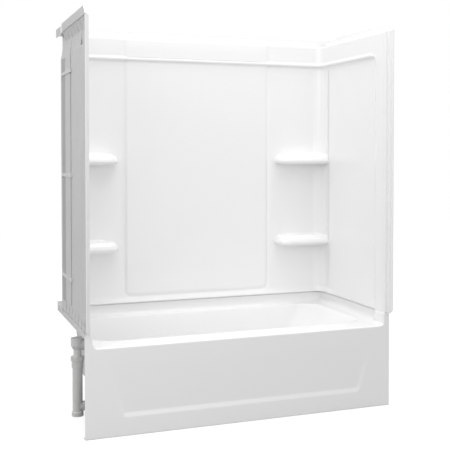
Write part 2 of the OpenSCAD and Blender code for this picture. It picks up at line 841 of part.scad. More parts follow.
module overflow_screws() {
    back = -bath_skin - gasket_t - 2 * side_gap;
    color("#b8bcc0") at_overflow() for (s = [-1, 1]) translate([0, s * screw_pitch / 2, 0]) {
        translate([0, 0, back - 10]) cylinder(r = screw_r, h = plate_t + side_gap - back + 11);
        translate([0, 0, side_gap + plate_t]) cylinder(r = screw_r + 2, h = 2);
    }
}

module stopper_post() {
    color("#b8bcc0") translate([x_drain, y_waste, 0]) {
        translate([0, 0, bar_z - 3]) cylinder(r = post_r - 0.1, h = bar_t + 4);
        translate([0, 0, bar_z + bar_t + side_gap]) cylinder(r = post_r + 2, h = 3, $fn = 6);
        translate([0, 0, bar_z + bar_t + 3]) cylinder(r = post_r, h = post_top_z - bar_z - bar_t - 3);
    }
}

sleeve_z0 = bar_z + bar_t + 4;

module stopper_sleeve() {
    color("#f0f0ee") translate([x_drain, y_waste, sleeve_z0])
        tube(sleeve_r, sleeve_r - post_r - run_gap, post_top_z - 1 - sleeve_z0);
}

module stopper_cap() {
    hub_z = post_top_z - 14;
    color("#c8ccd0") translate([x_drain, y_waste, 0]) difference() {
        union() {
            translate([0, 0, cap_z]) cylinder(r = cap_r, h = cap_t - 2);
            translate([0, 0, cap_z + cap_t - 2]) cylinder(r1 = cap_r, r2 = cap_r - 6, h = 2);
            translate([0, 0, hub_z]) cylinder(r = sleeve_r + 3, h = cap_z - hub_z + eps);
            translate([0, 0, cap_z + cap_t - eps]) cylinder(r1 = knob_r + 2, r2 = knob_r - 3, h = 6 + eps);
            translate([0, 0, cap_z + cap_t + 6 - eps])
                cylinder(r1 = knob_r - 3, r2 = knob_r, h = knob_h - 8 + eps);
            translate([0, 0, cap_z + cap_t + knob_h - 2]) cylinder(r1 = knob_r, r2 = knob_r - 1.5, h = 2);
        }
        translate([0, 0, hub_z - eps])
            cylinder(r = sleeve_r + run_gap, h = post_top_z + 0.5 - hub_z + eps);
        translate([0, 0, post_top_z]) cylinder(r = sleeve_r - 1, h = 1);
    }
}

// Cone of rubber that closes on the drain body's seat
module stopper_seal() {
    seat_r = drain_tube_r - drain_wall + seat_top_z - basin_floor_z;
    color("#2b2b2b") translate([x_drain, y_waste, 0]) difference() {
        union() {
            translate([0, 0, seat_top_z - 3])
                cylinder(r1 = seat_r - 3 - seal_gap, r2 = seat_r - seal_gap, h = 3);
            translate([0, 0, seat_top_z])
                cylinder(r = seat_r - seal_gap, h = cap_z - seat_top_z);
        }
        translate([0, 0, seat_top_z - 5]) cylinder(r = sleeve_r + 3, h = 10);
    }
}

bath_rim();
basin_drain_end();
basin_backrest_end();
bath_apron();
base_board();
support_feet();
back_wall();
left_end_wall();
right_end_wall();
left_joint_straps();
right_joint_straps();
drain_body();
drain_gasket();
drain_shoe();
waste_arm();
arm_slip_nut();
arm_slip_washer();
waste_riser();
riser_collar();
overflow_slip_nut();
overflow_slip_washer();
overflow_elbow();
overflow_gasket();
overflow_bracket();
overflow_plate();
overflow_screws();
stopper_post();
stopper_sleeve();
stopper_cap();
stopper_seal();
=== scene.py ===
"""Looks of an alcove bath and shower kit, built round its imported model.

Sizes are in millimetres in the classes and become metres where a mesh is made. X runs along
the bath with the drain at -X, Y runs from the open front to the back wall, and Z is up from
the floor.
"""
from __future__ import annotations

import logging
import math
from collections.abc import Sequence
from dataclasses import dataclass
from enum import Enum

import bmesh
import bpy
import numpy as np
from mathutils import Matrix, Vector


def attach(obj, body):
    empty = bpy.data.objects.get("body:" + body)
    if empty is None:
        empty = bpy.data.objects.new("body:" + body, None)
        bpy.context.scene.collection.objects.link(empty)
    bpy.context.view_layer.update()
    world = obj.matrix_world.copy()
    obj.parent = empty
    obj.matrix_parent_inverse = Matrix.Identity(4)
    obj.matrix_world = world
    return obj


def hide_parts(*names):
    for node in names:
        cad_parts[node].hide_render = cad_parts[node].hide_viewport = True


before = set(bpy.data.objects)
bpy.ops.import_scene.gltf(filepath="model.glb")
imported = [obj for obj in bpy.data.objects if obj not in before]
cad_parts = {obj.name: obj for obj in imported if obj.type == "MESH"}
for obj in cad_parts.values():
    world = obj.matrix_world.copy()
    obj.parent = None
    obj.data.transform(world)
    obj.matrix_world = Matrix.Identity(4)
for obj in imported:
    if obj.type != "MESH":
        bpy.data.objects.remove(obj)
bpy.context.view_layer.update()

log = logging.getLogger("bath_kit")
MM = 0.001
CREASE = 38.0
GLOSS, PLAIN_AND_SHADE, PAINTED_SHADE = 0, 1, 2

Pair = tuple[float, float]
Column = tuple[int, int, float, float, int]


class Side(Enum):
    DRAIN = -1
    FAR = 1


class Axis(Enum):
    """The axis that an outline is carried along."""

    X = 0
    Y = 1
    Z = 2


class Riser(Enum):
    """The shapes of the bath's riser, as insets and heights.

    The first two heights are over the rim, and the others are over the ledge.
    """

    LEANING = ((42, 0), (38, 16), (35, -24), (32, -12), (30, -5), (28, 0), (23, 0))
    STEEP = ((32, 0), (31, 12), (30, -24), (29.5, -12), (29, -5), (28, 0), (23, 0))
    TUCKED = ((12, 0), (8.5, 30), (8, -20), (8.5, -12), (10, -7), (13, 0), (22, 0))


# Materials: shared helpers


def srgb(code: str) -> tuple[float, float, float, float]:
    """Turn an sRGB hex code into a linear colour.

    Args:
        code: The colour as "#rrggbb".

    Returns:
        Linear red, green, blue and an alpha of 1.
    """
    parts = [int(code[i:i + 2], 16) / 255 for i in (1, 3, 5)]
    linear = [c / 12.92 if c <= 0.04045 else ((c + 0.055) / 1.055) ** 2.4 for c in parts]
    return (linear[0], linear[1], linear[2], 1.0)


def add_node(tree: bpy.types.NodeTree, kind: str, settings: dict | None = None,
             links: dict | None = None) -> bpy.types.Node:
    """Add a node with its settings and links.

    Args:
        tree: The node tree that gets the node.
        kind: The node's type, such as "ShaderNodeBump".
        settings: Values by input name, input number or attribute name.
        links: Output sockets by the name or number of the input that they feed.

    Returns:
        The new node.
    """
    node = tree.nodes.new(kind)
    for key, value in (settings or {}).items():
        if isinstance(key, int) or key in node.inputs:
            node.inputs[key].default_value = value
        else:
            setattr(node, key, value)
    for key, socket in (links or {}).items():
        tree.links.new(socket, node.inputs[key])
    return node


def empty_tree(owner: bpy.types.Material | bpy.types.World) -> bpy.types.NodeTree:
    """Return the owner's node tree with nothing in it."""
    owner.use_nodes = True
    owner.node_tree.nodes.clear()
    return owner.node_tree


@dataclass(frozen=True)
class Coat:
    """A material in the making: its nodes, and the ways that a pattern drives its shader."""

    finish: Finish
    tree: bpy.types.NodeTree
    shader: bpy.types.Node
    place: bpy.types.NodeSocket

    def pattern(self, kind: str, size_mm: float, output: str = "Fac",
                **settings: float | str) -> bpy.types.NodeSocket:
        """Add a pattern of a real size.

        Args:
            kind: The texture, such as "Noise".
            size_mm: How long its features are.
            output: Which of its results is used.
            settings: Its other settings, by name.

        Returns:
            The pattern.
        """
        node = add_node(self.tree, f"ShaderNodeTex{kind}",
                        {"Scale": 1.0 / (size_mm * MM), **settings}, {"Vector": self.place})
        return node.outputs[output]

    def tint(self, amount: bpy.types.NodeSocket, other: str, most: float = 1.0) -> None:
        """Blend the colour towards another by a pattern.

        Args:
            amount: The pattern, from 0 to 1.
            other: The colour that it blends towards.
            most: That colour's share where the pattern is 1.
        """
        share = add_node(self.tree, "ShaderNodeMapRange", {"To Max": most}, {"Value": amount})
        mix = add_node(self.tree, "ShaderNodeMix",
                       {"data_type": "RGBA", 6: srgb(self.finish.colour), 7: srgb(other)},
                       {0: share.outputs["Result"]})
        self.tree.links.new(mix.outputs[2], self.shader.inputs["Base Color"])

    def roughen(self, amount: bpy.types.NodeSocket, less: float,
                more: float) -> bpy.types.NodeSocket:
        """Vary the roughness by a pattern.

        Args:
            amount: The pattern, from 0 to 1.
            less: How far under the plain roughness it starts.
            more: How far over the plain roughness it ends.

        Returns:
            The roughness.
        """
        plain = self.finish.roughness
        varied = add_node(self.tree, "ShaderNodeMapRange",
                          {"To Min": plain - less, "To Max": plain + more}, {"Value": amount})
        self.tree.links.new(varied.outputs["Result"], self.shader.inputs["Roughness"])
        return varied.outputs["Result"]

    def emboss(self, height: bpy.types.NodeSocket, strength: float, distance: float) -> None:
        """Raise a pattern off the surface, on top of what was raised before.

        Args:
            height: The pattern.
            strength: The share of it that shows.
            distance: How high it stands, in metres.
        """
        normal = self.shader.inputs["Normal"]
        before = {"Normal": normal.links[0].from_socket} if normal.is_linked else {}
        bump = add_node(self.tree, "ShaderNodeBump", {"Strength": strength, "Distance": distance},
                        {"Height": height, **before})
        self.tree.links.new(bump.outputs["Normal"], normal)


@dataclass(frozen=True)
class Finish:
    """What every finish has: a name, a colour and the shader's plain roughness."""

    name: str
    colour: str
    roughness: float

    def material(self) -> bpy.types.Material:
        """Build the material.

        Returns:
            A material named for the real one.
        """
        made = bpy.data.materials.new(self.name)
        tree = empty_tree(made)
        shader = add_node(tree, "ShaderNodeBsdfPrincipled",
                          {"Base Color": srgb(self.colour), "Roughness": self.roughness})
        place = add_node(tree, "ShaderNodeTexCoord").outputs["Object"]
        self.dress(Coat(self, tree, shader, place))
        add_node(tree, "ShaderNodeOutputMaterial", {}, {"Surface": shader.outputs["BSDF"]})
        return made

    def dress(self, coat: Coat) -> None:
        """Add the finish's own patterns to the material in the making."""
        raise NotImplementedError



@dataclass(frozen=True)
class CompositeFace(Finish):
    """Compression-moulded fibre composite, the face off the polished tool half.

    It gives the eye a bright glossy white with a slow ripple in its reflections and a fine
    speckle that is barely there. Its real peel is near 2 mm and wouldn't show, so it is drawn
    coarser.
    """

    ripple_mm: float = 90.0
    peel_mm: float = 7.0
    speck_mm: float = 3.0
    speck: str = "#eeeeee"

    def dress(self, coat: Coat) -> None:
        """Add the tool's ripple, the fine peel and the speckle.

        Args:
            coat: The material in the making.
        """
        coat.tint(coat.pattern("Noise", self.speck_mm, Detail=2.0), self.speck, 0.5)
        ripple = coat.pattern("Noise", self.ripple_mm, Detail=1.0)
        coat.roughen(ripple, 0.03, 0.05)
        coat.emboss(ripple, 0.25, 0.0012)
        coat.emboss(coat.pattern("Noise", self.peel_mm, Detail=1.0), 0.12, 0.00006)


@dataclass(frozen=True)
class CompositeBack(Finish):
    """The same composite off the plain tool half, as it stands behind the wall.

    It gives the eye a flat grey-white with faint fibre bundles and flow marks.
    """

    bundle_mm: float = 22.0
    shade: str = "#c6c6c6"
    flow_mm: float = 260.0

    def dress(self, coat: Coat) -> None:
        """Add the fibre bundles and the broad flow marks.

        Args:
            coat: The material in the making.
        """
        flow = coat.pattern("Noise", self.flow_mm, Detail=3.0, Distortion=1.2)
        bundles = coat.pattern("Noise", self.bundle_mm, Detail=4.0, Distortion=2.5)
        both = add_node(coat.tree, "ShaderNodeMath", {"operation": "MULTIPLY"},
                        {0: flow, 1: bundles})
        coat.tint(both.outputs["Value"], self.shade, 1.6)
        coat.roughen(bundles, 0.08, 0.08)
        coat.emboss(bundles, 0.5, 0.0004)


@dataclass(frozen=True)
class PipePlastic(Finish):
    """Injection-moulded pipe plastic.

    It gives the eye a soft satin with faint flow swirls and a hint of tool grain. The real
    grain is near 0.1 mm and wouldn't show, so it is drawn coarser.
    """

    grain_mm: float = 1.2
    shade: str = "#d0d0ce"
    swirl_mm: float = 45.0

    def dress(self, coat: Coat) -> None:
        """Add the swirls and the grain.

        Args:
            coat: The material in the making.
        """
        swirl = coat.pattern("Noise", self.swirl_mm, Detail=2.0, Distortion=1.0)
        coat.tint(swirl, self.shade)
        coat.roughen(swirl, 0.05, 0.06)
        coat.emboss(coat.pattern("Noise", self.grain_mm, Detail=1.0), 0.3, 0.00005)


@dataclass(frozen=True)
class PlatedMetal(Finish):
    """Nickel-chromium plate on polished brass.

    It gives the eye a cool mirror with faint polishing haze and a few dried-water spots.
    """

    haze_mm: float = 9.0
    spot_mm: float = 5.0
    spot_reach: float = 0.25
    haze: str = "#c9ced2"

    def dress(self, coat: Coat) -> None:
        """Add the haze and the spots.

        Args:
            coat: The material in the making.
        """
        coat.shader.inputs["Metallic"].default_value = 1.0
        haze = coat.pattern("Noise", self.haze_mm, Detail=3.0)
        near = add_node(coat.tree, "ShaderNodeMapRange",
                        {"From Max": self.spot_reach, "To Min": 0.10, "To Max": 0.0},
                        {"Value": coat.pattern("Voronoi", self.spot_mm, "Distance")})
        rough = add_node(coat.tree, "ShaderNodeMath", {"operation": "ADD"},
                         {0: coat.roughen(haze, 0.03, 0.05), 1: near.outputs["Result"]})
        coat.tree.links.new(rough.outputs["Value"], coat.shader.inputs["Roughness"])
        coat.tint(haze, self.haze)


@dataclass(frozen=True)
class TurnedMetal(Finish):
    """Bar metal turned on a lathe.

    It gives the eye fine rings round the axis, brighter on their crests. Real rings are near
    0.1 mm and wouldn't show, so they are drawn coarser.
    """

    ring_mm: float = 0.8
    shade: str = "#8f8f8c"
    tarnish_mm: float = 4.0

    def dress(self, coat: Coat) -> None:
        """Add the lathe's rings and the tarnish between them.

        Args:
            coat: The material in the making.
        """
        coat.shader.inputs["Metallic"].default_value = 1.0
        # A wave pattern has 20 bands in the length that a noise has one feature in.
        rings = coat.pattern("Wave", self.ring_mm * 20, bands_direction="Z", Distortion=0.6,
                             Detail=1.0)
        tarnish = coat.pattern("Noise", self.tarnish_mm, Detail=3.0)
        coat.tint(tarnish, self.shade)
        coat.roughen(tarnish, 0.06, 0.10)
        coat.emboss(rings, 0.3, 0.00003)


@dataclass(frozen=True)
class MouldedRubber(Finish):
    """Press-moulded sealing rubber.

    It gives the eye a dull dark surface with a bloom of talc and a fine pebble. The real
    pebble is near 0.1 mm and wouldn't show, so it is drawn coarser.
    """

    pebble_mm: float = 0.7
    bloom: str = "#4b4b4a"
    bloom_mm: float = 12.0

    def dress(self, coat: Coat) -> None:
        """Add the bloom and the pebble.

        Args:
            coat: The material in the making.
        """
        bloom = coat.pattern("Noise", self.bloom_mm, Detail=4.0)
        coat.tint(bloom, self.bloom, 0.8)
        coat.roughen(bloom, 0.08, 0.08)
        coat.emboss(coat.pattern("Noise", self.pebble_mm, Detail=1.0), 0.4, 0.00008)


@dataclass(frozen=True)
class PressedBoard(Finish):
    """Particle board pressed from wood chips, with its faces unsanded.

    It gives the eye tan chips of several shades, each a few millimetres across.
    """

    chip_mm: float = 9.0
    dark: str = "#8a6a42"

    def dress(self, coat: Coat) -> None:
        """Add the chips and the dust between them.

        Args:
            coat: The material in the making.
        """
        chips = coat.pattern("Voronoi", self.chip_mm, "Distance", Randomness=1.0)
        tone = add_node(coat.tree, "ShaderNodeSeparateColor", {},
                        {"Color": chips.node.outputs["Color"]})
        coat.tint(tone.outputs[0], self.dark, 0.75)
        coat.roughen(tone.outputs[1], 0.1, 0.08)
        coat.emboss(chips, 0.6, 0.0003)


@dataclass(frozen=True)
class Palette:
    face: Finish = CompositeFace("moulded composite, gloss face", "#f3f3f3", 0.22)
    # The plain back is matt, and its darker grey is painted shade for the outer faces that the
    # lamps leave in shadow.
    back: Finish = CompositeBack("moulded composite, plain back in painted shade", "#d5d5d6", 0.55)
    # A darker grey painted along each corner joint on the outside: painted shade for the gap
    # between the walls, which falls in shadow.
    painted_joint_shade: Finish = CompositeBack("moulded composite, painted shade along the joint", "#bababa", 0.62, 22.0,
                                 "#a2a2a2")
    pipe: Finish = PipePlastic("white drain-pipe plastic", "#e3e3e2", 0.42)
    strap: Finish = PipePlastic("moulded strap plastic", "#e2e2e2", 0.50, 2.0, "#cdcdcc")
    foot: Finish = PipePlastic("foamed foot plastic", "#d6d6d1", 0.62, 3.0, "#bdbdb6")
    sleeve: Finish = PipePlastic("nylon sleeve", "#efefea", 0.38, 0.8, "#e2e1d8")
    chrome: Finish = PlatedMetal("chromium plate", "#dfe3e6", 0.10)
    steel: Finish = TurnedMetal("bright steel", "#c4c4c2", 0.30)
    brass: Finish = TurnedMetal("turned brass", "#c9a866", 0.28, 0.8, "#a8874a")
    seal: Finish = MouldedRubber("black sealing rubber", "#232323", 0.62)
    washer: Finish = MouldedRubber("grey washer rubber", "#4d4e50", 0.60, 0.9, "#6c6d6e")
    board: Finish = PressedBoard("pressed board", "#c8a775", 0.78)


# Meshes: shared helpers


def direction(angle: float) -> np.ndarray:
    """Return the unit vector at an angle in degrees."""
    return np.array([math.cos(math.radians(angle)), math.sin(math.radians(angle))])


def blend(ends: Sequence, share: float) -> np.ndarray | float:
    """Return what lies at a share of the way between two values."""
    return ends[0] + (ends[1] - ends[0]) * share


def rectangle(xs: Pair, ys: Pair) -> list[Pair]:
    """Return a rectangle's corners, anticlockwise from the lowest."""
    return [(xs[0], ys[0]), (xs[1], ys[0]), (xs[1], ys[1]), (xs[0], ys[1])]


def line_of(x: np.ndarray | float, y: np.ndarray | float, z: np.ndarray | float) -> np.ndarray:
    """Return points from their coordinates, of which some may be single numbers."""
    return np.stack(np.broadcast_arrays(x, y, z), axis=-1)


def smooth(low: float, high: float, value: np.ndarray | float) -> np.ndarray | float:
    """Return 0 below low and 1 above high, with a smooth rise between."""
    t = np.clip((np.asarray(value, float) - low) / (high - low), 0.0, 1.0)
    return t * t * (3 - 2 * t)


def bezier(start: Sequence[float], corner: Sequence[float], end: Sequence[float],
           steps: int) -> np.ndarray:
    """Return the points of a curve that rounds a corner off.

    Args:
        start: Where the curve leaves the first side.
        corner: The corner that it rounds.
        end: Where the curve meets the second side.
        steps: The number of pieces of the curve.

    Returns:
        The points, one more than steps.
    """
    t = np.linspace(0, 1, steps + 1)[:, None]
    a, b, c = (np.asarray(p, float)[None, :] for p in (start, corner, end))
    return (1 - t) ** 2 * a + 2 * t * (1 - t) * b + t * t * c


def round_corners(points: Sequence[tuple[float, float, float]], steps: int = 5) -> np.ndarray:
    """Round the corners of a line.

    Args:
        points: Each corner's two coordinates and how far its rounding reaches.
        steps: The number of pieces of each rounding.

    Returns:
        The line's points.
    """
    line: list[np.ndarray] = [np.array([points[0][:2]], float)]
    for before, here, after in zip(points, points[1:], points[2:]):
        corner = np.array(here[:2], float)
        sides = [np.array(p[:2], float) - corner for p in (before, after)]
        start, end = (corner + s / np.linalg.norm(s) * here[2] for s in sides)
        line.append(bezier(start, corner, end, steps))
    line.append(np.array([points[-1][:2]], float))
    return np.concatenate(line)


def add_object(name: str, data: bpy.types.ID) -> bpy.types.Object:
    """Add an object to the scene.

    Args:
        name: The object's name.
        data: Its mesh, lamp or camera.

    Returns:
        The new object.
    """
    made = bpy.data.objects.new(name, data)
    bpy.context.scene.collection.objects.link(made)
    return made


class Form:
    """A mesh in the making, in millimetres."""

    def __init__(self, name: str) -> None:
        """Start an empty form with the name of its piece."""
        self.name = name
        self.mesh = bmesh.new()

    def sheet(self, grid: np.ndarray, closed: bool = False) -> list[bmesh.types.BMVert]:
        """Add a sheet of faces through a grid of points.

        Args:
            grid: Points as rows, columns and XYZ.
            closed: Whether the last column joins the first.

        Returns:
            The sheet's points, row by row.
        """
        rows, columns = grid.shape[:2]
        points = [[self.mesh.verts.new(p) for p in row] for row in grid]
        for upper, lower in zip(points, points[1:]):
            for c in range(columns if closed else columns - 1):
                d = (c + 1) % columns
                self.mesh.faces.new((upper[c], upper[d], lower[d], lower[c]))
        return [point for row in points for point in row]

    def orient(self, points: list[bmesh.types.BMVert]) -> list[bmesh.types.BMFace]:
        """Join a new shape's points and turn its faces to the same side.

        Args:
            points: All of the shape's points.

        Returns:
            The shape's faces.
        """
        bmesh.ops.remove_doubles(self.mesh, verts=points, dist=0.01)
        faces = list(dict.fromkeys(f for p in points if p.is_valid for f in p.link_faces))
        bmesh.ops.recalc_face_normals(self.mesh, faces=faces)
        return faces

    def weld(self, probe: Sequence[float], facing: Sequence[float], gap: float = 0.02) -> None:
        """Join the sheets and turn them all to the same side.

        Args:
            probe: A point near a face whose side is known.
            facing: The way that face looks.
            gap: How near two points are joined.
        """
        bmesh.ops.remove_doubles(self.mesh, verts=self.mesh.verts[:], dist=gap)
        bmesh.ops.dissolve_degenerate(self.mesh, dist=0.001, edges=self.mesh.edges[:])
        bmesh.ops.recalc_face_normals(self.mesh, faces=self.mesh.faces[:])
        self.mesh.normal_update()
        target = Vector(probe)
        nearest = min(self.mesh.faces, key=lambda f: (f.calc_center_median() - target).length)
        if nearest.normal.dot(Vector(facing)) < 0:
            bmesh.ops.reverse_faces(self.mesh, faces=self.mesh.faces[:])
            self.mesh.normal_update()

    def thicken(self, skin: float) -> None:
        """Give the sheet a back, on the plain material, whose darker grey is partly painted
        shade.

        Args:
            skin: The thickness, measured away from the side the sheet faces.
        """
        front = self.mesh.faces[:]
        border = [e for e in self.mesh.edges if len(e.link_faces) == 1]
        sharpest = 0.35
        twin = {}
        for point in self.mesh.verts[:]:
            spreads = [max(sharpest, point.normal.dot(f.normal)) for f in point.link_faces]
            reach = skin / (sum(spreads) / max(1, len(spreads)))
            twin[point] = self.mesh.verts.new(point.co - point.normal * reach)
        for face in front:
            made = self.mesh.faces.new([twin[v] for v in reversed(face.verts[:])])
            made.material_index = PLAIN_AND_SHADE
        for edge in border:
            loop = edge.link_loops[0]
            a, b = loop.vert, loop.link_loop_next.vert
            self.mesh.faces.new((b, a, twin[a], twin[b]))

    def prism(self, outline: Sequence[Pair], axis: Axis, span: Pair, soft: float,
              slot: int = PLAIN_AND_SHADE) -> None:
        """Add an outline carried along an axis, with its edges softened.

        Args:
            outline: The two coordinates left over by the axis, in the order X, Y, Z.
            axis: The axis that it is carried along.
            span: Where it starts and ends.
            soft: How far its edges are bevelled.
            slot: The material it takes.
        """
        ends = [[self.mesh.verts.new(np.insert(p, axis.value, at)) for p in outline]
                for at in span]
        faces = [self.mesh.faces.new(end) for end in ends]
        for i, (a, b) in enumerate(zip(*ends)):
            j = (i + 1) % len(outline)
            faces.append(self.mesh.faces.new((a, ends[0][j], ends[1][j], b)))
        for face in faces:
            face.material_index = slot
        bmesh.ops.recalc_face_normals(self.mesh, faces=faces)
        edges = list(dict.fromkeys(e for f in faces for e in f.edges))
        bmesh.ops.bevel(self.mesh, geom=edges, offset=soft, segments=2, profile=0.5,
                        affect="EDGES", clamp_overlap=True, material=-1)

    def block(self, xs: Pair, ys: Pair, zs: Pair, soft: float, slot: int = PLAIN_AND_SHADE) -> None:
        """Add a block between two corners, with its edges softened."""
        self.prism(rectangle(xs, ys), Axis.Z, zs, soft, slot)

    def back_faces(self, kit: Kit, low: float, rear: bool = True) -> None:
        """Put the plain back, its darker grey partly painted shade, on the faces that look out of
        the alcove at its bounds.

        Args:
            low: The height from which faces are taken.
            rear: Whether faces that look backward are taken too.
        """
        self.mesh.normal_update()
        for face in self.mesh.faces:
            middle, normal = face.calc_center_median(), face.normal
            edge = abs(middle.x) > kit.side - 1.0 or middle.y > kit.back - 1.0
            outward = abs(normal.x) > 0.5 or (rear and normal.y > 0.5)
            if edge and outward and middle.z > low:
                face.material_index = PLAIN_AND_SHADE

    def piece(self, finishes: Sequence[bpy.types.Material], body: str,
              nodes: Sequence[str]) -> None:
        """Make the Blender object and tie it to the model.

        Args:
            finishes: The materials by their slot's number.
            body: The body that it moves with.
            nodes: The nodes that it stands for.
        """
        bmesh.ops.scale(self.mesh, vec=(MM, MM, MM), verts=self.mesh.verts[:])
        data = bpy.data.meshes.new(self.name)
        self.mesh.to_mesh(data)
        self.mesh.free()
        data.shade_smooth()
        data.set_sharp_from_angle(angle=math.radians(CREASE))
        for finish in finishes:
            data.materials.append(finish)
        made = add_object(self.name, data)
        even = made.modifiers.new("flats stay flat", "WEIGHTED_NORMAL")
        even.mode = "FACE_AREA"
        even.weight = 50
        even.keep_sharp = True
        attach(made, body)
        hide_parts(*(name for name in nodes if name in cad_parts))



@dataclass(frozen=True)
class Kit:
    """Sizes that several pieces share."""

    side: float = 762.0
    back: float = 399.5
    apron: float = -362.5
    lip: float = -399.5
    height: float = 1905.0
    ledge: float = 465.0
    flange: float = 4.0
    flange_rise: float = 28.0

    def span(self, side: Side, outer: float, inner: float) -> Pair:
        """Return the X of two insets from a side, the lower one first."""
        low, high = sorted(side.value * (self.side - inset) for inset in (outer, inner))
        return low, high


@dataclass
class Bath:
    """The bath moulding: basin, rim, riser, ledge, nailing flange and apron.

    Where a size is a pair that ends in _reach, it holds at the sides and at the back.
    """

    kit: Kit
    finishes: list[bpy.types.Material]
    rim: float = 403.0
    rim_x: float = 688.0
    rim_y: Pair = (-227.5, 349.5)
    corner: float = 100.0
    floor: float = 110.0
    floor_r: float = 70.0
    floor_x: Pair = (-596.0, 418.0)
    floor_y: Pair = (-132.5, 254.5)
    inner_reach: Pair = (14.0, 20.0)
    deck_reach: Pair = (12.0, 2.5)
    fillet_reach: Pair = (15.0, 2.5)
    riser_foot: float = 44.0
    ledge_in: float = 27.0
    tuck_x: Pair = (-700.0, -664.0)
    tuck_y: Pair = (-270.0, -242.0)
    ledge_corner: float = 60.0
    edge_r: float = 7.0
    ear_r: float = 4.0
    skin: float = 6.0
    skirt: float = 14.0
    side_rise: float = 8.0
    foot: float = 28.0
    drain: tuple[float, float, float] = (-530.0, 18.5, 24.5)
    panel_z: float = 84.0
    panel_bevel: float = 21.0
    panel_depth: float = 4.6
    panel_top: float = 320.0
    panel_half: float = 592.0
    panel_spread: float = 70.0
    lean_reach: float = 100.0
    across: int = 72
    along: int = 16
    half_turn: int = 20
    turn: int = 24

    @property
    def front(self) -> int:
        """Return how many columns of the ring look at the open front."""
        return 2 * self.half_turn + self.across

    def columns(self) -> list[Column]:
        """Return the ring's columns, from the front corner at the drain end.

        Returns:
            For each column its two corners' numbers, how far it lies between them, its
            direction in degrees and its span's number.
        """
        spans = [(0, 0, 225, 270, self.half_turn), (0, 1, 270, 270, self.across),
                 (1, 1, 270, 315, self.half_turn), (1, 1, 315, 360, self.half_turn),
                 (1, 2, 360, 360, self.along), (2, 2, 360, 450, self.turn),
                 (2, 3, 450, 450, self.across), (3, 3, 450, 540, self.turn),
                 (3, 0, 540, 540, self.along), (0, 0, 540, 585, self.half_turn)]
        return [(a, b, i / count, start + (end - start) * i / count, number)
                for number, (a, b, start, end, count) in enumerate(spans)
                for i in range(count)]

    def basin(self, form: Form) -> None:
        """Add the basin, its floor and the deck round it.

        Args:
            form: The form that takes them.
        """
        columns = self.columns()
        in_x = self.rim_x - self.corner
        in_y = (self.rim_y[0] + self.corner, self.rim_y[1] - self.corner)
        rims = np.array(rectangle((-in_x, in_x), in_y))
        balls = np.array(rectangle(self.floor_x, self.floor_y))
        ball_z = self.floor + self.floor_r
        drain, drain_r = np.array(self.drain[:2]), self.drain[2]
        rings = []
        for (a, b, t, angle, _), outer in zip(columns, self.deck_edge(columns)):
            way, back = direction(angle), self.at_back(angle)
            rim = blend((rims[a], rims[b]), t) + self.corner * way
            ball = blend((balls[a], balls[b]), t)
            reach, rise = float((rim - ball) @ way), self.rim - ball_z
            lean = math.atan2(reach, rise) - math.asin(self.floor_r / math.hypot(reach, rise))
            bowl = [np.append(ball + self.floor_r * math.cos(phi) * way,
                              ball_z - self.floor_r * math.sin(phi))
                    for phi in np.linspace(math.pi / 2, lean, 13)]
            touch, top = bowl[-1], np.append(rim, self.rim)
            down = (touch - top) / np.linalg.norm(touch - top)
            inner = top + down * blend(self.inner_reach, back)
            deck = top + np.append(way, 0) * blend(self.deck_reach, back)
            hole = drain + (ball - drain) / np.linalg.norm(ball - drain) * drain_r
            rings.append([np.append(hole, self.floor), *bowl,
                          *(blend((touch, inner), s) for s in (0.25, 0.5, 0.75)),
                          *bezier(inner, top, deck, 7),
                          *(blend((deck, outer), s) for s in (0.33, 0.66, 1.0))])
        form.sheet(np.array(rings).transpose(1, 0, 2), closed=True)

    def at_back(self, angle: float) -> float:
        """Return 1 where a column looks at the back wall, fading to 0 at the sides."""
        return float(smooth(15, 90, 90 - abs(angle % 360 - 90)))

    def fillet(self, angle: float) -> float:
        """Return how far the riser's fillet reaches over the deck."""
        return blend(self.fillet_reach, self.at_back(angle))

    def deck_edge(self, columns: list[Column]) -> np.ndarray:
        """Return the deck's outer edge.

        Args:
            columns: The ring's columns.

        Returns:
            One point for each column.
        """
        edge_x = self.kit.side - self.riser_foot - self.fillet(0)
        in_x = self.rim_x - self.corner
        front_y = self.kit.apron + self.edge_r
        points = []
        for index, (_, _, t, angle, span) in enumerate(columns):
            if index <= self.front:
                x = np.interp(span + t, range(4), (-edge_x, -in_x, in_x, edge_x))
                points.append((x, front_y, self.rim))
            else:
                inset = self.riser_foot + self.fillet(angle)
                points.append((*self.u_point(t, angle, span, inset, front_y), self.rim))
        return np.array(points)

    def u_point(self, t: float, angle: float, span: int, s: float, front: float) -> np.ndarray:
        """Return a point of the riser's or ledge's plan.

        Args:
            t: How far the column lies along its span.
            angle: The column's direction in degrees.
            span: The span's number, from 3 to 10.
            front: Where the plan starts, in Y.

        Returns:
            X and Y.
        """
        if span > 6:
            twin = {7: 5, 8: 4}.get(span, 3)
            x, y = self.u_point(0.0 if span == 10 else 1 - t, 540 - angle, twin, s, front)
            return np.array([-x, y])
        foot, ledge, kit = self.riser_foot, self.ledge_in, self.kit
        centre = self.ledge_corner + (foot if s >= foot else max(s, ledge))
        middle = self.rim_y[0] + self.corner
        corner = np.array([kit.side - centre, kit.back - centre])
        if span == 3:
            return np.array([kit.side - s, blend((front, middle), t)])
        if span == 4:
            return np.array([kit.side - s, blend((middle, corner[1]), t)])
        if span == 6:
            return np.array([corner[0] * (1 - 2 * t), kit.back - s])
        way = direction(angle)
        square = float(np.clip((ledge - s) / ledge, 0, 1))
        return corner + (centre - s) / float(np.abs(way).max()) ** square * way

    def riser_shape(self, start: Pair, shape: Riser) -> np.ndarray:
        """Return one of the riser's shapes, from the deck's edge to the ledge.

        Args:
            start: The deck's edge, as inset and height.
            shape: The shape.

        Returns:
            Its points, as inset and height.
        """
        low = [(s, self.rim + z) for s, z in shape.value[:2]]
        high = [(s, self.kit.ledge + z) for s, z in shape.value[2:]]
        return np.concatenate([bezier(start, *low, 10), high[:2], bezier(*high[2:], 5)])

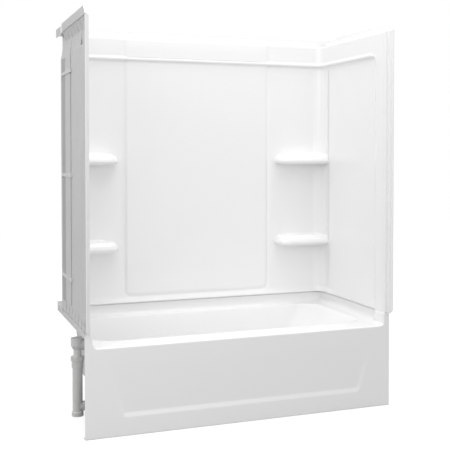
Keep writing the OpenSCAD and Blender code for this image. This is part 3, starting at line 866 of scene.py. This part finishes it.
    def riser_section(self, angle: float, x: float, y: float) -> np.ndarray:
        """Return the section from the deck's edge up and over the ledge.

        The riser is tucked under the back wall and the far end wall's field. It leans plainly
        elsewhere, where the waste pipe passes behind it or the front strip stands over it.

        Args:
            angle: The column's direction in degrees.
            x: Where the riser's foot is.
            y: The same in Y.

        Returns:
            Its points, as inset and height.
        """
        start = (self.riser_foot + self.fillet(angle), self.rim)
        free = self.riser_shape(start, Riser.STEEP if x > 0 else Riser.LEANING)
        tucked = self.riser_shape(start, Riser.TUCKED)
        share = float(smooth(*self.tuck_x, x) if x < 0 else smooth(*self.tuck_y, y))
        top = [(inset, self.kit.ledge) for inset in (15, 6, 1)]
        return np.concatenate([blend((free, tucked), share), top])

    def roll(self, s: float) -> float:
        """Return the radius of the front edge at an inset, large on the deck."""
        return blend((self.ear_r, self.edge_r), float(smooth(38, 58, s)))

    def riser(self, form: Form) -> tuple[np.ndarray, np.ndarray]:
        """Add the riser and the ledge on three sides.

        Args:
            form: The form that takes them.

        Returns:
            The section's points at the far end's front and at the drain end's.
        """
        apron = self.kit.apron
        sheet = []
        for _, _, t, angle, span in self.columns()[self.front:] + [(0, 0, 0.0, 585.0, 10)]:
            x, y = self.u_point(t, angle, span, self.riser_foot, apron)
            sheet.append([(*self.u_point(t, angle, span, s, apron + self.roll(s)), z)
                          for s, z in self.riser_section(angle, float(x), float(y))])
        grid = np.array(sheet)
        form.sheet(grid)
        return grid[0], grid[-1]

    def up_panel(self, z: float) -> float:
        """Return how far up the apron's panel a height lies, as a share."""
        return (z - self.panel_z) / (self.panel_top - self.panel_z)

    def apron_panel(self, x: np.ndarray, z: float) -> np.ndarray:
        """Return how deep the apron's panel lies at one height of its face.

        Args:
            x: Where it is asked for.
            z: The height.

        Returns:
            The depth at each X.
        """
        # The depth is the lesser of the rise and the fall, and never less than 0. The two
        # hypotenuses round both of those corners off.
        rise = (z - self.panel_z) / self.panel_bevel
        fall = (self.panel_top - z) / (self.panel_top - self.panel_z - self.panel_bevel)
        least = 0.5 * (rise + fall - math.hypot(rise - fall, 0.09))
        depth = 0.5 * (least + math.hypot(least, 0.05)) if least > -0.6 else 0.0
        slant = self.panel_half + self.panel_spread * self.up_panel(z)
        return self.panel_depth * depth * smooth(-4, 20, slant - np.abs(x))

    def apron(self, form: Form, left: np.ndarray, right: np.ndarray) -> None:
        """Add the rolled front edge, the apron and its foot.

        Args:
            form: The form that takes them.
            left: The section's points at the drain end's front.
            right: The section's points at the far end's front.
        """
        front = self.kit.apron
        deck = self.deck_edge(self.columns())[1:self.front]
        profile = np.concatenate([left[::-1], deck, right])
        flat = profile[:, [0, 2]]
        tangent = np.gradient(flat, axis=0)
        normal = np.stack([-tangent[:, 1], tangent[:, 0]], axis=1)
        normal /= np.linalg.norm(normal, axis=1)[:, None]
        normal[0] = normal[-1] = (0, 1)
        radius = profile[:, 1] - front
        rolled = []
        for theta in np.linspace(0, math.pi / 2, 7):
            moved = flat - normal * (radius * (1 - math.cos(theta)))[:, None]
            rolled.append(line_of(moved[:, 0], front + radius * (1 - math.sin(theta)),
                                  moved[:, 1]))
        x, top = rolled[-1][:, 0], rolled[-1][:, 2]
        # The rows are close together over the panel's lower bevel.
        levels = np.concatenate([np.arange(384, 326, -8), np.arange(326, 132, -8),
                                 np.arange(131, 70, -2.5), np.arange(68, 6, -10), [4.0]])
        # The columns lean with the panel's ends, and less so further from them.
        middle = self.panel_half + self.panel_spread / 2
        hat = np.clip(1 - np.abs(np.abs(x) - middle) / self.lean_reach, 0, 1)
        rows = [rolled[-1]]
        rows += [line_of(x, front, blend((top, levels[0]), s)) for s in (0.35, 0.7)]
        for z in levels:
            share = np.clip(self.up_panel(z), -0.1, 1.1)
            leant = x + self.panel_spread * (share - 0.5) * hat * np.sign(x)
            rows.append(line_of(leant, front + self.apron_panel(leant, z), z))
        rows += [line_of(rows[-1][:, 0], front + y, z) for y, z in (
            (0.3, 2.4), (1.2, 1.0), (2.6, 0.2), (4.0, 0.0), (self.foot, 0.0))]
        form.sheet(np.array(rolled))
        form.sheet(np.array(rows))

    def build(self) -> None:
        """Build the bath as one piece and tie it to the model."""
        kit = self.kit
        form = Form("bath")
        self.basin(form)
        right, left = self.riser(form)
        self.apron(form, left, right)
        form.weld((0.0, 0.0, self.floor), (0, 0, 1))
        form.thicken(self.skin)
        low = kit.ledge - kit.flange
        rear = (kit.back - kit.flange, kit.back)
        for side in Side:
            form.block(kit.span(side, 0.0, kit.flange), (kit.apron + 6, kit.back),
                       (low - self.skirt, kit.ledge + self.side_rise), 1.0)
        form.block((-kit.side, kit.side), rear, (low, kit.ledge + kit.flange_rise), 1.0, GLOSS)
        form.back_faces(kit, low - self.skirt - 1)
        form.piece(self.finishes, "unit",
                   ["bath_rim", "basin_drain_end", "basin_backrest_end", "bath_apron"])
        log.info("bath: basin, rim, riser, ledge, flange and apron")


@dataclass
class WallForm:
    """What the back wall and the end walls share: their section and their skin."""

    kit: Kit
    finishes: list[bpy.types.Material]
    skin: float = 3.6
    face_in: float = 25.0
    field_in: float = 16.0
    top: float = 1867.0
    bead: float = 1752.0
    bead_h: float = 14.0
    bead_out: float = 4.0
    border: float = 474.0
    border_top: float = 492.0
    turn_in: float = 76.0
    joint: float = 290.5
    joint_gap: float = 0.3
    tongue: float = 258.0
    tongue_in: float = 8.0
    panel_foot: float = 508.0
    fine_top: float = 560.0
    fine: float = 6.0
    coarse: float = 40.0

    def section(self) -> np.ndarray:
        """Return the section of a wall's face, with its points close together low down.

        Returns:
            Its points from foot to top, as inset and height.
        """
        ledge, crest = self.kit.ledge + 0.5, self.face_in + self.bead_out
        line = round_corners([
            (4.5, ledge, 0), (self.face_in, ledge, 2), (self.face_in, self.border, 4),
            (self.field_in, self.border_top, 8), (self.field_in, self.bead - 5, 7),
            (crest, self.bead + 2, 6.5), (crest, self.bead + self.bead_h - 2, 2.8),
            (self.face_in, self.bead + self.bead_h + 7, 5), (self.face_in, self.top, 6),
            (4.0, self.top, 0)])
        dense = [line[0]]
        for start, end in zip(line, line[1:]):
            low = start[1] < self.fine_top
            spacing = self.fine if low and end[1] > start[1] else self.coarse
            if low and end[1] > self.fine_top:
                dense.extend((start[0], z)
                             for z in np.arange(start[1] + self.fine, self.fine_top, self.fine))
                start = np.array([start[0], self.fine_top])
                spacing = self.coarse
            count = max(1, math.ceil(np.linalg.norm(end - start) / spacing))
            dense.extend(blend((start, end), i / count) for i in range(1, count + 1))
        return np.array(dense)

    def on_face(self, z: np.ndarray) -> np.ndarray:
        """Return where heights lie on the face, clear of its foot and its top edge."""
        return (z > 470) & (z < self.top - 7)


@dataclass
class BackWall(WallForm):
    """The back wall with its corners, centre panel, shelves, tongues and ribs."""

    centre_half: float = 400.0
    panel_corner: float = 22.0
    groove_depth: float = 2.4
    groove_width: float = 7.0
    groove_out: float = 10.0
    rise: float = 3.2
    edge_soft: float = 8.0
    upright: float = 1.6
    fade: float = 0.45
    shelf_reach: float = 295.0
    shelf_corner: float = 60.0
    shelf_tops: Pair = (793.0, 1250.0)
    shelf_crown: float = 4.0
    shelf_lip: float = 56.0
    shelf_cove: float = 13.0
    cove_end: float = 44.0
    cove_fade: Pair = (38.0, 88.0)
    return_front: float = 250.0
    rib_pitch: float = 406.0
    rib_out: float = 12.8
    painted_shade_y: Pair = (172.0, 264.0)

    def relief(self, x: float, z: np.ndarray) -> np.ndarray:
        """Return how far the face stands out of the plain section for the centre panel.

        Args:
            x: Where the column is.
            z: The column's heights.

        Returns:
            The distance at each height.
        """
        corner = self.panel_corner
        dx = abs(x) - (self.centre_half - corner)
        dz = self.panel_foot + corner - z
        outside = np.hypot(max(dx, 0), np.maximum(dz, 0))
        inside = corner - (outside + np.minimum(np.maximum(dx, dz), 0))
        groove = self.groove_depth * np.exp(
            -((inside + self.groove_out) / self.groove_width) ** 2)
        step = self.rise * smooth(-self.edge_soft, self.edge_soft, inside)
        # The panel is fainter towards its top, and stronger along its upright edges.
        faint = 1 - self.fade * smooth(self.border_top, self.top, z)
        strong = 1 + (self.upright - 1) * smooth(0, 30, dx - dz)
        bead = smooth(self.bead - 6, self.bead, z) * smooth(-1, 0, 11 - np.abs(
            z - (self.bead + 7)))
        return (step - groove) * faint * strong * (1 - bead)

    def skin_sheet(self, form: Form) -> None:
        """Add the wall's face from one corner joint to the other.

        Args:
            form: The form that takes it.
        """
        s, z = self.section().T
        kit, turn, edge = self.kit, self.turn_in, self.centre_half
        flat, turn_y = kit.side - turn, kit.back - turn
        left = [line_of(s - kit.side, y, z)
                for y in np.linspace(self.joint + self.joint_gap, turn_y, 4)[:-1]]
        for angle in np.linspace(0, 90, 17)[:-1]:
            cosine, sine = direction(angle)
            left.append(line_of(-flat - (turn - s) * cosine, turn_y + (turn - s) * sine, z))
        near = edge + np.array([-29, -22, -16, -12, -9, -6, -3, 0, 3, 6, 9, 12, 15, 18, 22, 27])
        across = np.unique(np.concatenate([
            -near, near, np.linspace(-flat, -edge - 30, 9), np.linspace(edge + 30, flat, 9),
            np.linspace(30 - edge, edge - 30, 25)]))
        middle = [line_of(x, kit.back - s - self.relief(x, z) * self.on_face(z), z)
                  for x in across]
        right = [column * np.array([-1, 1, 1]) for column in reversed(left)]
        form.sheet(np.array(left + middle + right))

    def in_corner(self, side: Side, p: np.ndarray, q: np.ndarray,
                  z: np.ndarray | float) -> np.ndarray:
        """Return points by how far they lie from a corner's two walls.

        Args:
            side: The corner that they are in.
            p: How far they lie from the end wall's field.
            q: How far they lie from the back wall's field.
            z: Their height.

        Returns:
            The points.
        """
        return line_of(side.value * (self.kit.side - self.field_in - p),
                       self.kit.back - self.field_in - q, z)

    def shelf(self, form: Form, side: Side, top: float) -> None:
        """Add one corner shelf.

        Args:
            form: The form that takes it.
            side: The corner that it is in.
            top: The height of its top.
        """
        reach, r, wall_r = self.shelf_reach, self.shelf_corner, self.turn_in - self.field_in
        depth = self.kit.back - self.field_in - self.joint + self.joint_gap
        # Each point of the plan has its distances from the walls and the way its nose looks.
        plan = [(reach, q, 1, 0) for q in (-1.0, *np.linspace(4, depth - r, 4))]
        for way in map(direction, np.linspace(0, 90, 15)[1:]):
            plan.append((reach - r + r * way[0], depth - r + r * way[1], *way))
        plan += [(p, depth, 0, 1) for p in (*np.linspace(reach - r, 4, 8)[1:], -1.0)]
        plan.append((-1.0, wall_r, 0, 0))
        for way in map(direction, np.linspace(180, 270, 9)):
            plan.append((*(wall_r + (wall_r + 1) * way), 0, 0))
        plan.append((wall_r + 20, -1.0, 0, 0))
        p, q, out_p, out_q = np.array(plan).T
        crown = top + self.shelf_crown
        heel = crown - self.shelf_lip
        profile = np.concatenate([
            round_corners([(32, crown, 0), (25, crown, 6), (5, crown - 18, 13),
                           (0, crown - 36, 0)], 7),
            round_corners([(0, crown - 37, 0), (3, heel + 7, 8), (20, heel, 8),
                           (30, heel, 0)], 5)])
        grid = np.array([self.in_corner(side, p - inset * out_p, q - inset * out_q, z)
                         for inset, z in profile])
        points = form.sheet(grid, closed=True)
        for ring in (grid[0], grid[-1]):
            cap = [form.mesh.verts.new(point) for point in ring]
            form.mesh.faces.new(cap)
            points = cap + points
        form.orient(points)
        self.cove(form, side, crown, wall_r, depth)

    def cove(self, form: Form, side: Side, crown: float, wall_r: float, depth: float) -> None:
        """Add the cove that runs a shelf's top up into the walls.

        Args:
            form: The form that takes it.
            side: The corner that it is in.
            crown: The height of the shelf's top.
            wall_r: The radius of the walls' corner.
            depth: How far the shelf reaches along the end wall.
        """
        # Each place has its distances from the walls, the way out of the wall, and how much
        # of the shelf is left ahead of it.
        path = []
        for way in map(direction, np.linspace(180, 270, 19)):
            p, q = wall_r + wall_r * way
            path.append((p, q, -way[0], -way[1], depth - q))
        path += [(p, 0.0, 0.0, 1.0, self.shelf_reach - p)
                 for p in np.linspace(wall_r, self.shelf_reach - self.cove_end, 20)[1:]]
        phi = np.linspace(0, math.pi / 2, 8)
        rows = []
        for p, q, out_p, out_q, left in path:
            if left > self.cove_end:
                r = self.shelf_cove * float(smooth(*self.cove_fade, left)) + 0.3
                out = r * (1 - np.sin(phi)) - 0.4
                rows.append(self.in_corner(side, p + out * out_p, q + out * out_q,
                                           crown + r * (1 - np.cos(phi)) - 0.2))
        made = form.orient(form.sheet(np.array(rows)))
        form.mesh.normal_update()
        if sum(face.normal.z for face in made) < 0:
            bmesh.ops.reverse_faces(form.mesh, faces=made)

    def build(self) -> None:
        """Build the back wall as one piece and tie it to the model."""
        kit, joint, tongue_in = self.kit, self.joint, self.tongue_in
        form = Form("back_wall_panel")
        self.skin_sheet(form)
        form.weld((150.0, kit.back - self.field_in, 1000.0), (0, -1, 0))
        form.thicken(self.skin)
        high = self.bead - 20
        tall = (self.border_top + 38, high)
        for side in Side:
            for top in self.shelf_tops:
                self.shelf(form, side, top)
            form.block(kit.span(side, tongue_in, tongue_in + 3.7),
                       (joint - self.tongue, joint + 4.3), tall, 0.8)
            # A thin darker strip on the tongue: painted shade for the shadowed joint between the
            # back wall and the end wall.
            form.block(kit.span(side, tongue_in - 0.2, tongue_in + 1.0), self.painted_shade_y,
                       (kit.ledge + 62, high), 0.3, PAINTED_SHADE)
            form.block(kit.span(side, tongue_in, self.field_in),
                       (joint + self.joint_gap, joint + 4.3), tall, 0.8)
        form.block((-kit.side, kit.side), (kit.back - kit.flange, kit.back),
                   (self.top - 4, kit.height), 1.2, GLOSS)
        for side in Side:
            form.block(kit.span(side, 0.0, kit.flange), (self.return_front, kit.back - 1),
                       (self.top - 12, kit.height - 8), 1.2, GLOSS)
        form.back_faces(kit, self.top - 14)
        for place in (-1.5, -0.5, 0.5, 1.5):
            x = place * self.rib_pitch
            form.block((x - 2, x + 2), (kit.back - self.rib_out, kit.back),
                       (self.panel_foot + 20, high), 0.8)
        form.piece(self.finishes, "unit", ["back_wall"])
        log.info("back wall: skin, corners, centre panel, four shelves, tongues and ribs")


@dataclass
class EndWall(WallForm):
    """An end wall with its stepped front edge, flanges and gussets."""

    side: Side = Side.DRAIN
    field_front: float = -252.5
    field_corner: float = 30.0
    field_soft: float = 20.0
    hook_width: float = 8.0
    step_in: float = 13.0
    step_back: float = 22.0
    nose_in: float = 4.2
    nose_foot: float = 470.0
    nose_r: float = 15.0
    flange_len: float = 589.0
    gusset_pitch: float = 85.0
    gusset_width: float = 5.0
    web: float = 46.0

    def recess(self, y: float, z: np.ndarray) -> np.ndarray:
        """Return where the face is the recessed field.

        Args:
            y: Where the column is.
            z: The column's heights.

        Returns:
            1 on the field and 0 on the strip ahead of it, at each height.
        """
        r = self.field_corner
        dy, dz = self.field_front + r - y, z - (self.bead - r)
        corner = r - np.hypot(max(dy, 0), np.maximum(dz, 0))
        inside = np.where((dy > 0) & (dz > 0), corner, min(r, y - self.field_front))
        return smooth(-self.field_soft, self.field_soft, inside)

    def hook(self, y: float, z: np.ndarray) -> np.ndarray:
        """Return how far the bead stands out where it turns down at its front end.

        Args:
            y: Where the column is.
            z: The column's heights.

        Returns:
            The distance at each height.
        """
        ridge = self.bead_out * math.exp(-((y - self.field_front + 4) / self.hook_width) ** 2)
        fade = smooth(self.bead - 62, self.bead - 12, z) * smooth(0, 14, self.bead + 6 - z)
        return ridge * fade

    def field_depth(self, y: float, s: np.ndarray, z: np.ndarray) -> np.ndarray:
        """Return the insets of a column of the field or of the strip ahead of it.

        Args:
            y: Where the column is.
            s: The plain section's insets.
            z: The section's heights.

        Returns:
            The inset at each height.
        """
        face, field = self.face_in, self.field_in
        depth = np.where(self.on_face(z), face + (s - face) * self.recess(y, z), s)
        square = (z < self.border) & (s > face - 5.1) & (y < self.field_front - 4)
        depth = np.where(square, face, depth) + self.hook(y, z)
        # The border fades out of the foot between the strip and the corner joint.
        share = 0.96 * (1 - smooth(self.joint - 80, self.joint - 20, y))
        share = share * smooth(-self.field_soft, self.field_soft, y - self.field_front)
        share = share * (z < 520) * (depth > field)
        return depth + (field - depth) * share

    def skin_sheet(self, form: Form) -> None:
        """Add the wall's face and its stepped front edge.

        Args:
            form: The form that takes them.
        """
        s, z = self.section().T
        kit, front, step = self.kit, self.field_front, self.kit.apron - self.step_back
        field_ys = np.concatenate([
            [self.joint], np.linspace(self.joint - 10, front + 40, 14),
            np.linspace(front + 32, front - 12, 16), np.linspace(front - 20, kit.apron + 10, 5)])
        columns = [line_of(self.field_depth(y, s, z), y, z) for y in field_ys]
        nose = round_corners([
            (self.face_in, kit.apron + 8, 0), (self.face_in, kit.apron, 2),
            (self.step_in, kit.apron, 2), (self.step_in, step, 2), (self.nose_in, step, 1.5),
            (self.nose_in, kit.lip, 0)], 3)
        plain = np.where(self.on_face(z), self.face_in, s)
        for inset, y in nose:
            ahead = (step - y) / self.nose_r
            foot = kit.ledge
            if ahead > 0:
                foot = self.nose_foot + self.nose_r * (
                    1 - math.sqrt(max(0.0, 1 - ahead ** 2)))
            columns.append(line_of(np.minimum(plain, inset), y, np.maximum(z, foot)))
        grid = np.array(columns)
        grid[:, :, 0] = self.side.value * (kit.side - grid[:, :, 0])
        form.sheet(grid)

    def backing(self, form: Form) -> None:
        """Add what stands on the wall's outside: webs, the bead's filling and gussets.

        Args:
            form: The form that takes them.
        """
        kit, bead, web = self.kit, self.bead, self.web
        out, inner = self.face_in - self.skin, self.field_in - self.skin
        top, foot, front = self.top - 4, kit.ledge + 4, kit.apron + 8
        rear, split = kit.apron + self.flange_len - 4, self.joint - self.tongue
        rails = [([(4.2, top), (out, top), (out, top - web)], (front, rear), 0.6),
                 ([(9.0, foot), (inner, foot), (inner, foot + web / 2)],
                  (front, self.joint - 2), 0.6)]
        # The step behind the bead is filled by a slope, and the bead's groove by a core.
        for span, proud in (((self.field_front + 32, split), 12.2),
                            ((split, self.joint + 4), self.tongue_in)):
            rails.append(([(proud, bead - 20.5), (12.8, bead - 20.5), (out + 0.6, bead + 30),
                           (out + 0.6, bead + 78)], span, 0.2))
            rails.append(([(17.0, bead + 4), (24.8, bead + 4), (24.8, bead + 13),
                           (21.5, bead + 22), (17.0, bead + 22)], span, 0.2))
        for y in np.arange(kit.apron + 40, rear - 15, self.gusset_pitch):
            span = (y, y + self.gusset_width)
            rails.append(([(1.5, top), (out, top), (out, top - web - 12)], span, 0.7))
            rails.append(([(4.5, foot), (inner, foot), (inner, foot + web + 12)], span, 0.7))
        for outline, span, soft in rails:
            form.prism([(self.side.value * (kit.side - s), z) for s, z in outline], Axis.Y,
                       span, soft)

    def build(self) -> None:
        """Build the end wall as one piece and tie it to the model."""
        kit, sign, shelf = self.kit, self.side.value, self.top - 4
        word = "left" if self.side is Side.DRAIN else "right"
        form = Form(f"{word}_end_panel")
        self.skin_sheet(form)
        form.weld((sign * (kit.side - self.field_in), 0.0, 1000.0), (-sign, 0, 0))
        form.thicken(self.skin)
        self.backing(form)
        edge = kit.apron + self.flange_len
        form.prism([(kit.lip, shelf), (edge, shelf), (edge, kit.height),
                    (kit.apron, kit.height), (kit.lip, self.top)], Axis.X,
                   kit.span(self.side, 0.0, kit.flange), 1.0, GLOSS)
        form.back_faces(kit, self.top - 6, rear=False)
        form.piece(self.finishes, "unit", [f"{word}_end_wall"])
        log.info("%s end wall: skin, stepped edge, flange and gussets", word)


@dataclass(frozen=True)
class Fittings:
    """The pieces whose shapes come from the model and that take a finish here."""

    palette: Palette

    def groups(self) -> list[tuple[Finish, list[str]]]:
        """List what each finish is worn by.

        Returns:
            Each finish with its nodes' names.
        """
        p = self.palette
        return [
            (p.board, ["base_board"]),
            (p.foot, ["support_feet"]),
            (p.strap, ["left_joint_straps", "right_joint_straps"]),
            (p.chrome, ["drain_body", "overflow_plate", "stopper_cap"]),
            (p.seal, ["drain_gasket", "overflow_gasket", "stopper_seal"]),
            (p.washer, ["arm_slip_washer", "overflow_slip_washer"]),
            (p.pipe, ["drain_shoe", "waste_arm", "arm_slip_nut", "waste_riser",
                      "riser_collar", "overflow_slip_nut", "overflow_elbow"]),
            (p.steel, ["overflow_bracket", "overflow_screws"]),
            (p.brass, ["stopper_post"]),
            (p.sleeve, ["stopper_sleeve"])]

    def build(self) -> None:
        """Give each node its material."""
        for finish, names in self.groups():
            made = finish.material()
            for name in names:
                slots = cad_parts[name].data.materials
                slots.clear()
                slots.append(made)
            log.info("%s: %s", finish.name, ", ".join(names))


@dataclass(frozen=True)
class Lamp:
    """A large soft lamp, in metres and watts."""

    name: str
    place: tuple[float, float, float]
    target: tuple[float, float, float]
    size: Pair
    power: float

    def build(self) -> None:
        """Hang the lamp."""
        data = bpy.data.lights.new(self.name, "AREA")
        data.shape = "RECTANGLE"
        data.size, data.size_y = self.size
        data.energy = self.power
        made = add_object(self.name, data)
        made.location = self.place
        way = Vector(self.target) - Vector(self.place)
        made.rotation_euler = way.to_track_quat("-Z", "Y").to_euler()


@dataclass
class Studio:
    """The floor, the lamps, the white surround and the camera."""

    lens: float = 69.553
    place: tuple[float, float, float] = (-1.4553, -4.1501, 1.2720)
    pitch: float = 88.5
    yaw: float = -20.880
    shift: Pair = (-0.0444, -0.1134)
    sky: float = 0.82
    floor_half: float = 9.0
    floor_glow: float = 0.81
    lamps: tuple[Lamp, ...] = (
        Lamp("overhead light", (0.0, -0.3, 5.5), (0.0, 0.0, 0.5), (3.0, 2.0), 86.0),
        Lamp("alcove light", (0.0, -0.9, 2.9), (0.0, 0.1, 0.8), (1.4, 0.6), 5.6),
        Lamp("side fill", (-3.0, -2.6, 2.4), (-0.7, 0.0, 1.0), (2.0, 2.0), 28.0),
        Lamp("front fill", (0.3, -5.0, 1.2), (0.0, 0.0, 1.0), (3.0, 2.0), 17.0))

    def strength(self, tree: bpy.types.NodeTree, light: float,
                 eye: float) -> bpy.types.NodeSocket:
        """Return a strength that differs between light and what is seen.

        Args:
            tree: The node tree that it is for.
            light: The strength as light.
            eye: The strength for rays that the eye, gloss or clear things see.

        Returns:
            The strength.
        """
        path = add_node(tree, "ShaderNodeLightPath")
        seen = path.outputs["Is Camera Ray"]
        for kind in ("Is Glossy Ray", "Is Transmission Ray"):
            seen = add_node(tree, "ShaderNodeMath", {"operation": "MAXIMUM"},
                            {0: seen, 1: path.outputs[kind]}).outputs["Value"]
        return add_node(tree, "ShaderNodeMapRange", {"To Min": light, "To Max": eye},
                        {"Value": seen}).outputs["Result"]

    def surround(self) -> None:
        """Make the world: white to the eye, a plain soft sky as light."""
        world = bpy.data.worlds.new("white studio")
        bpy.context.scene.world = world
        tree = empty_tree(world)
        sky = add_node(tree, "ShaderNodeBackground", {"Color": srgb("#ffffff")},
                       {"Strength": self.strength(tree, self.sky, 1.0)})
        add_node(tree, "ShaderNodeOutputWorld", {}, {"Surface": sky.outputs["Background"]})

    def floor(self) -> None:
        mesh = bmesh.new()
        bmesh.ops.create_grid(mesh, x_segments=8, y_segments=8, size=self.floor_half)
        data = bpy.data.meshes.new("studio_floor")
        mesh.to_mesh(data)
        mesh.free()
        material = bpy.data.materials.new("matt studio floor")
        tree = empty_tree(material)
        matt = add_node(tree, "ShaderNodeBsdfDiffuse", {"Color": srgb("#919191")})
        glow = add_node(tree, "ShaderNodeEmission", {"Color": srgb("#ffffff")},
                        {"Strength": self.strength(tree, 0.0, self.floor_glow)})
        both = add_node(tree, "ShaderNodeAddShader", {},
                        {0: matt.outputs["BSDF"], 1: glow.outputs["Emission"]})
        add_node(tree, "ShaderNodeOutputMaterial", {}, {"Surface": both.outputs["Shader"]})
        data.materials.append(material)
        add_object("studio_floor", data)

    def camera(self) -> None:
        """Set the camera where the photograph was taken from."""
        data = bpy.data.cameras.new("camera")
        data.lens = self.lens
        data.sensor_width = 36.0
        data.shift_x, data.shift_y = self.shift
        data.clip_end = 60.0
        made = add_object("camera", data)
        made.location = self.place
        made.rotation_euler = (math.radians(self.pitch), 0.0, math.radians(self.yaw))
        bpy.context.scene.camera = made

    def build(self) -> None:
        """Set the stage up."""
        bpy.context.scene.view_settings.view_transform = "Standard"
        self.camera()
        self.surround()
        self.floor()
        for lamp in self.lamps:
            lamp.build()
        log.info("studio: camera, surround, floor and lamps")


def main() -> None:
    logging.basicConfig(level=logging.INFO, format="%(message)s")
    Studio().build()
    palette = Palette()
    kit = Kit()
    skins = [palette.face.material(), palette.back.material()]
    Bath(kit, skins).build()
    BackWall(kit, skins + [palette.painted_joint_shade.material()]).build()
    for side in Side:
        EndWall(kit, skins, side=side).build()
    Fittings(palette).build()


if __name__ == "__main__":
    main()
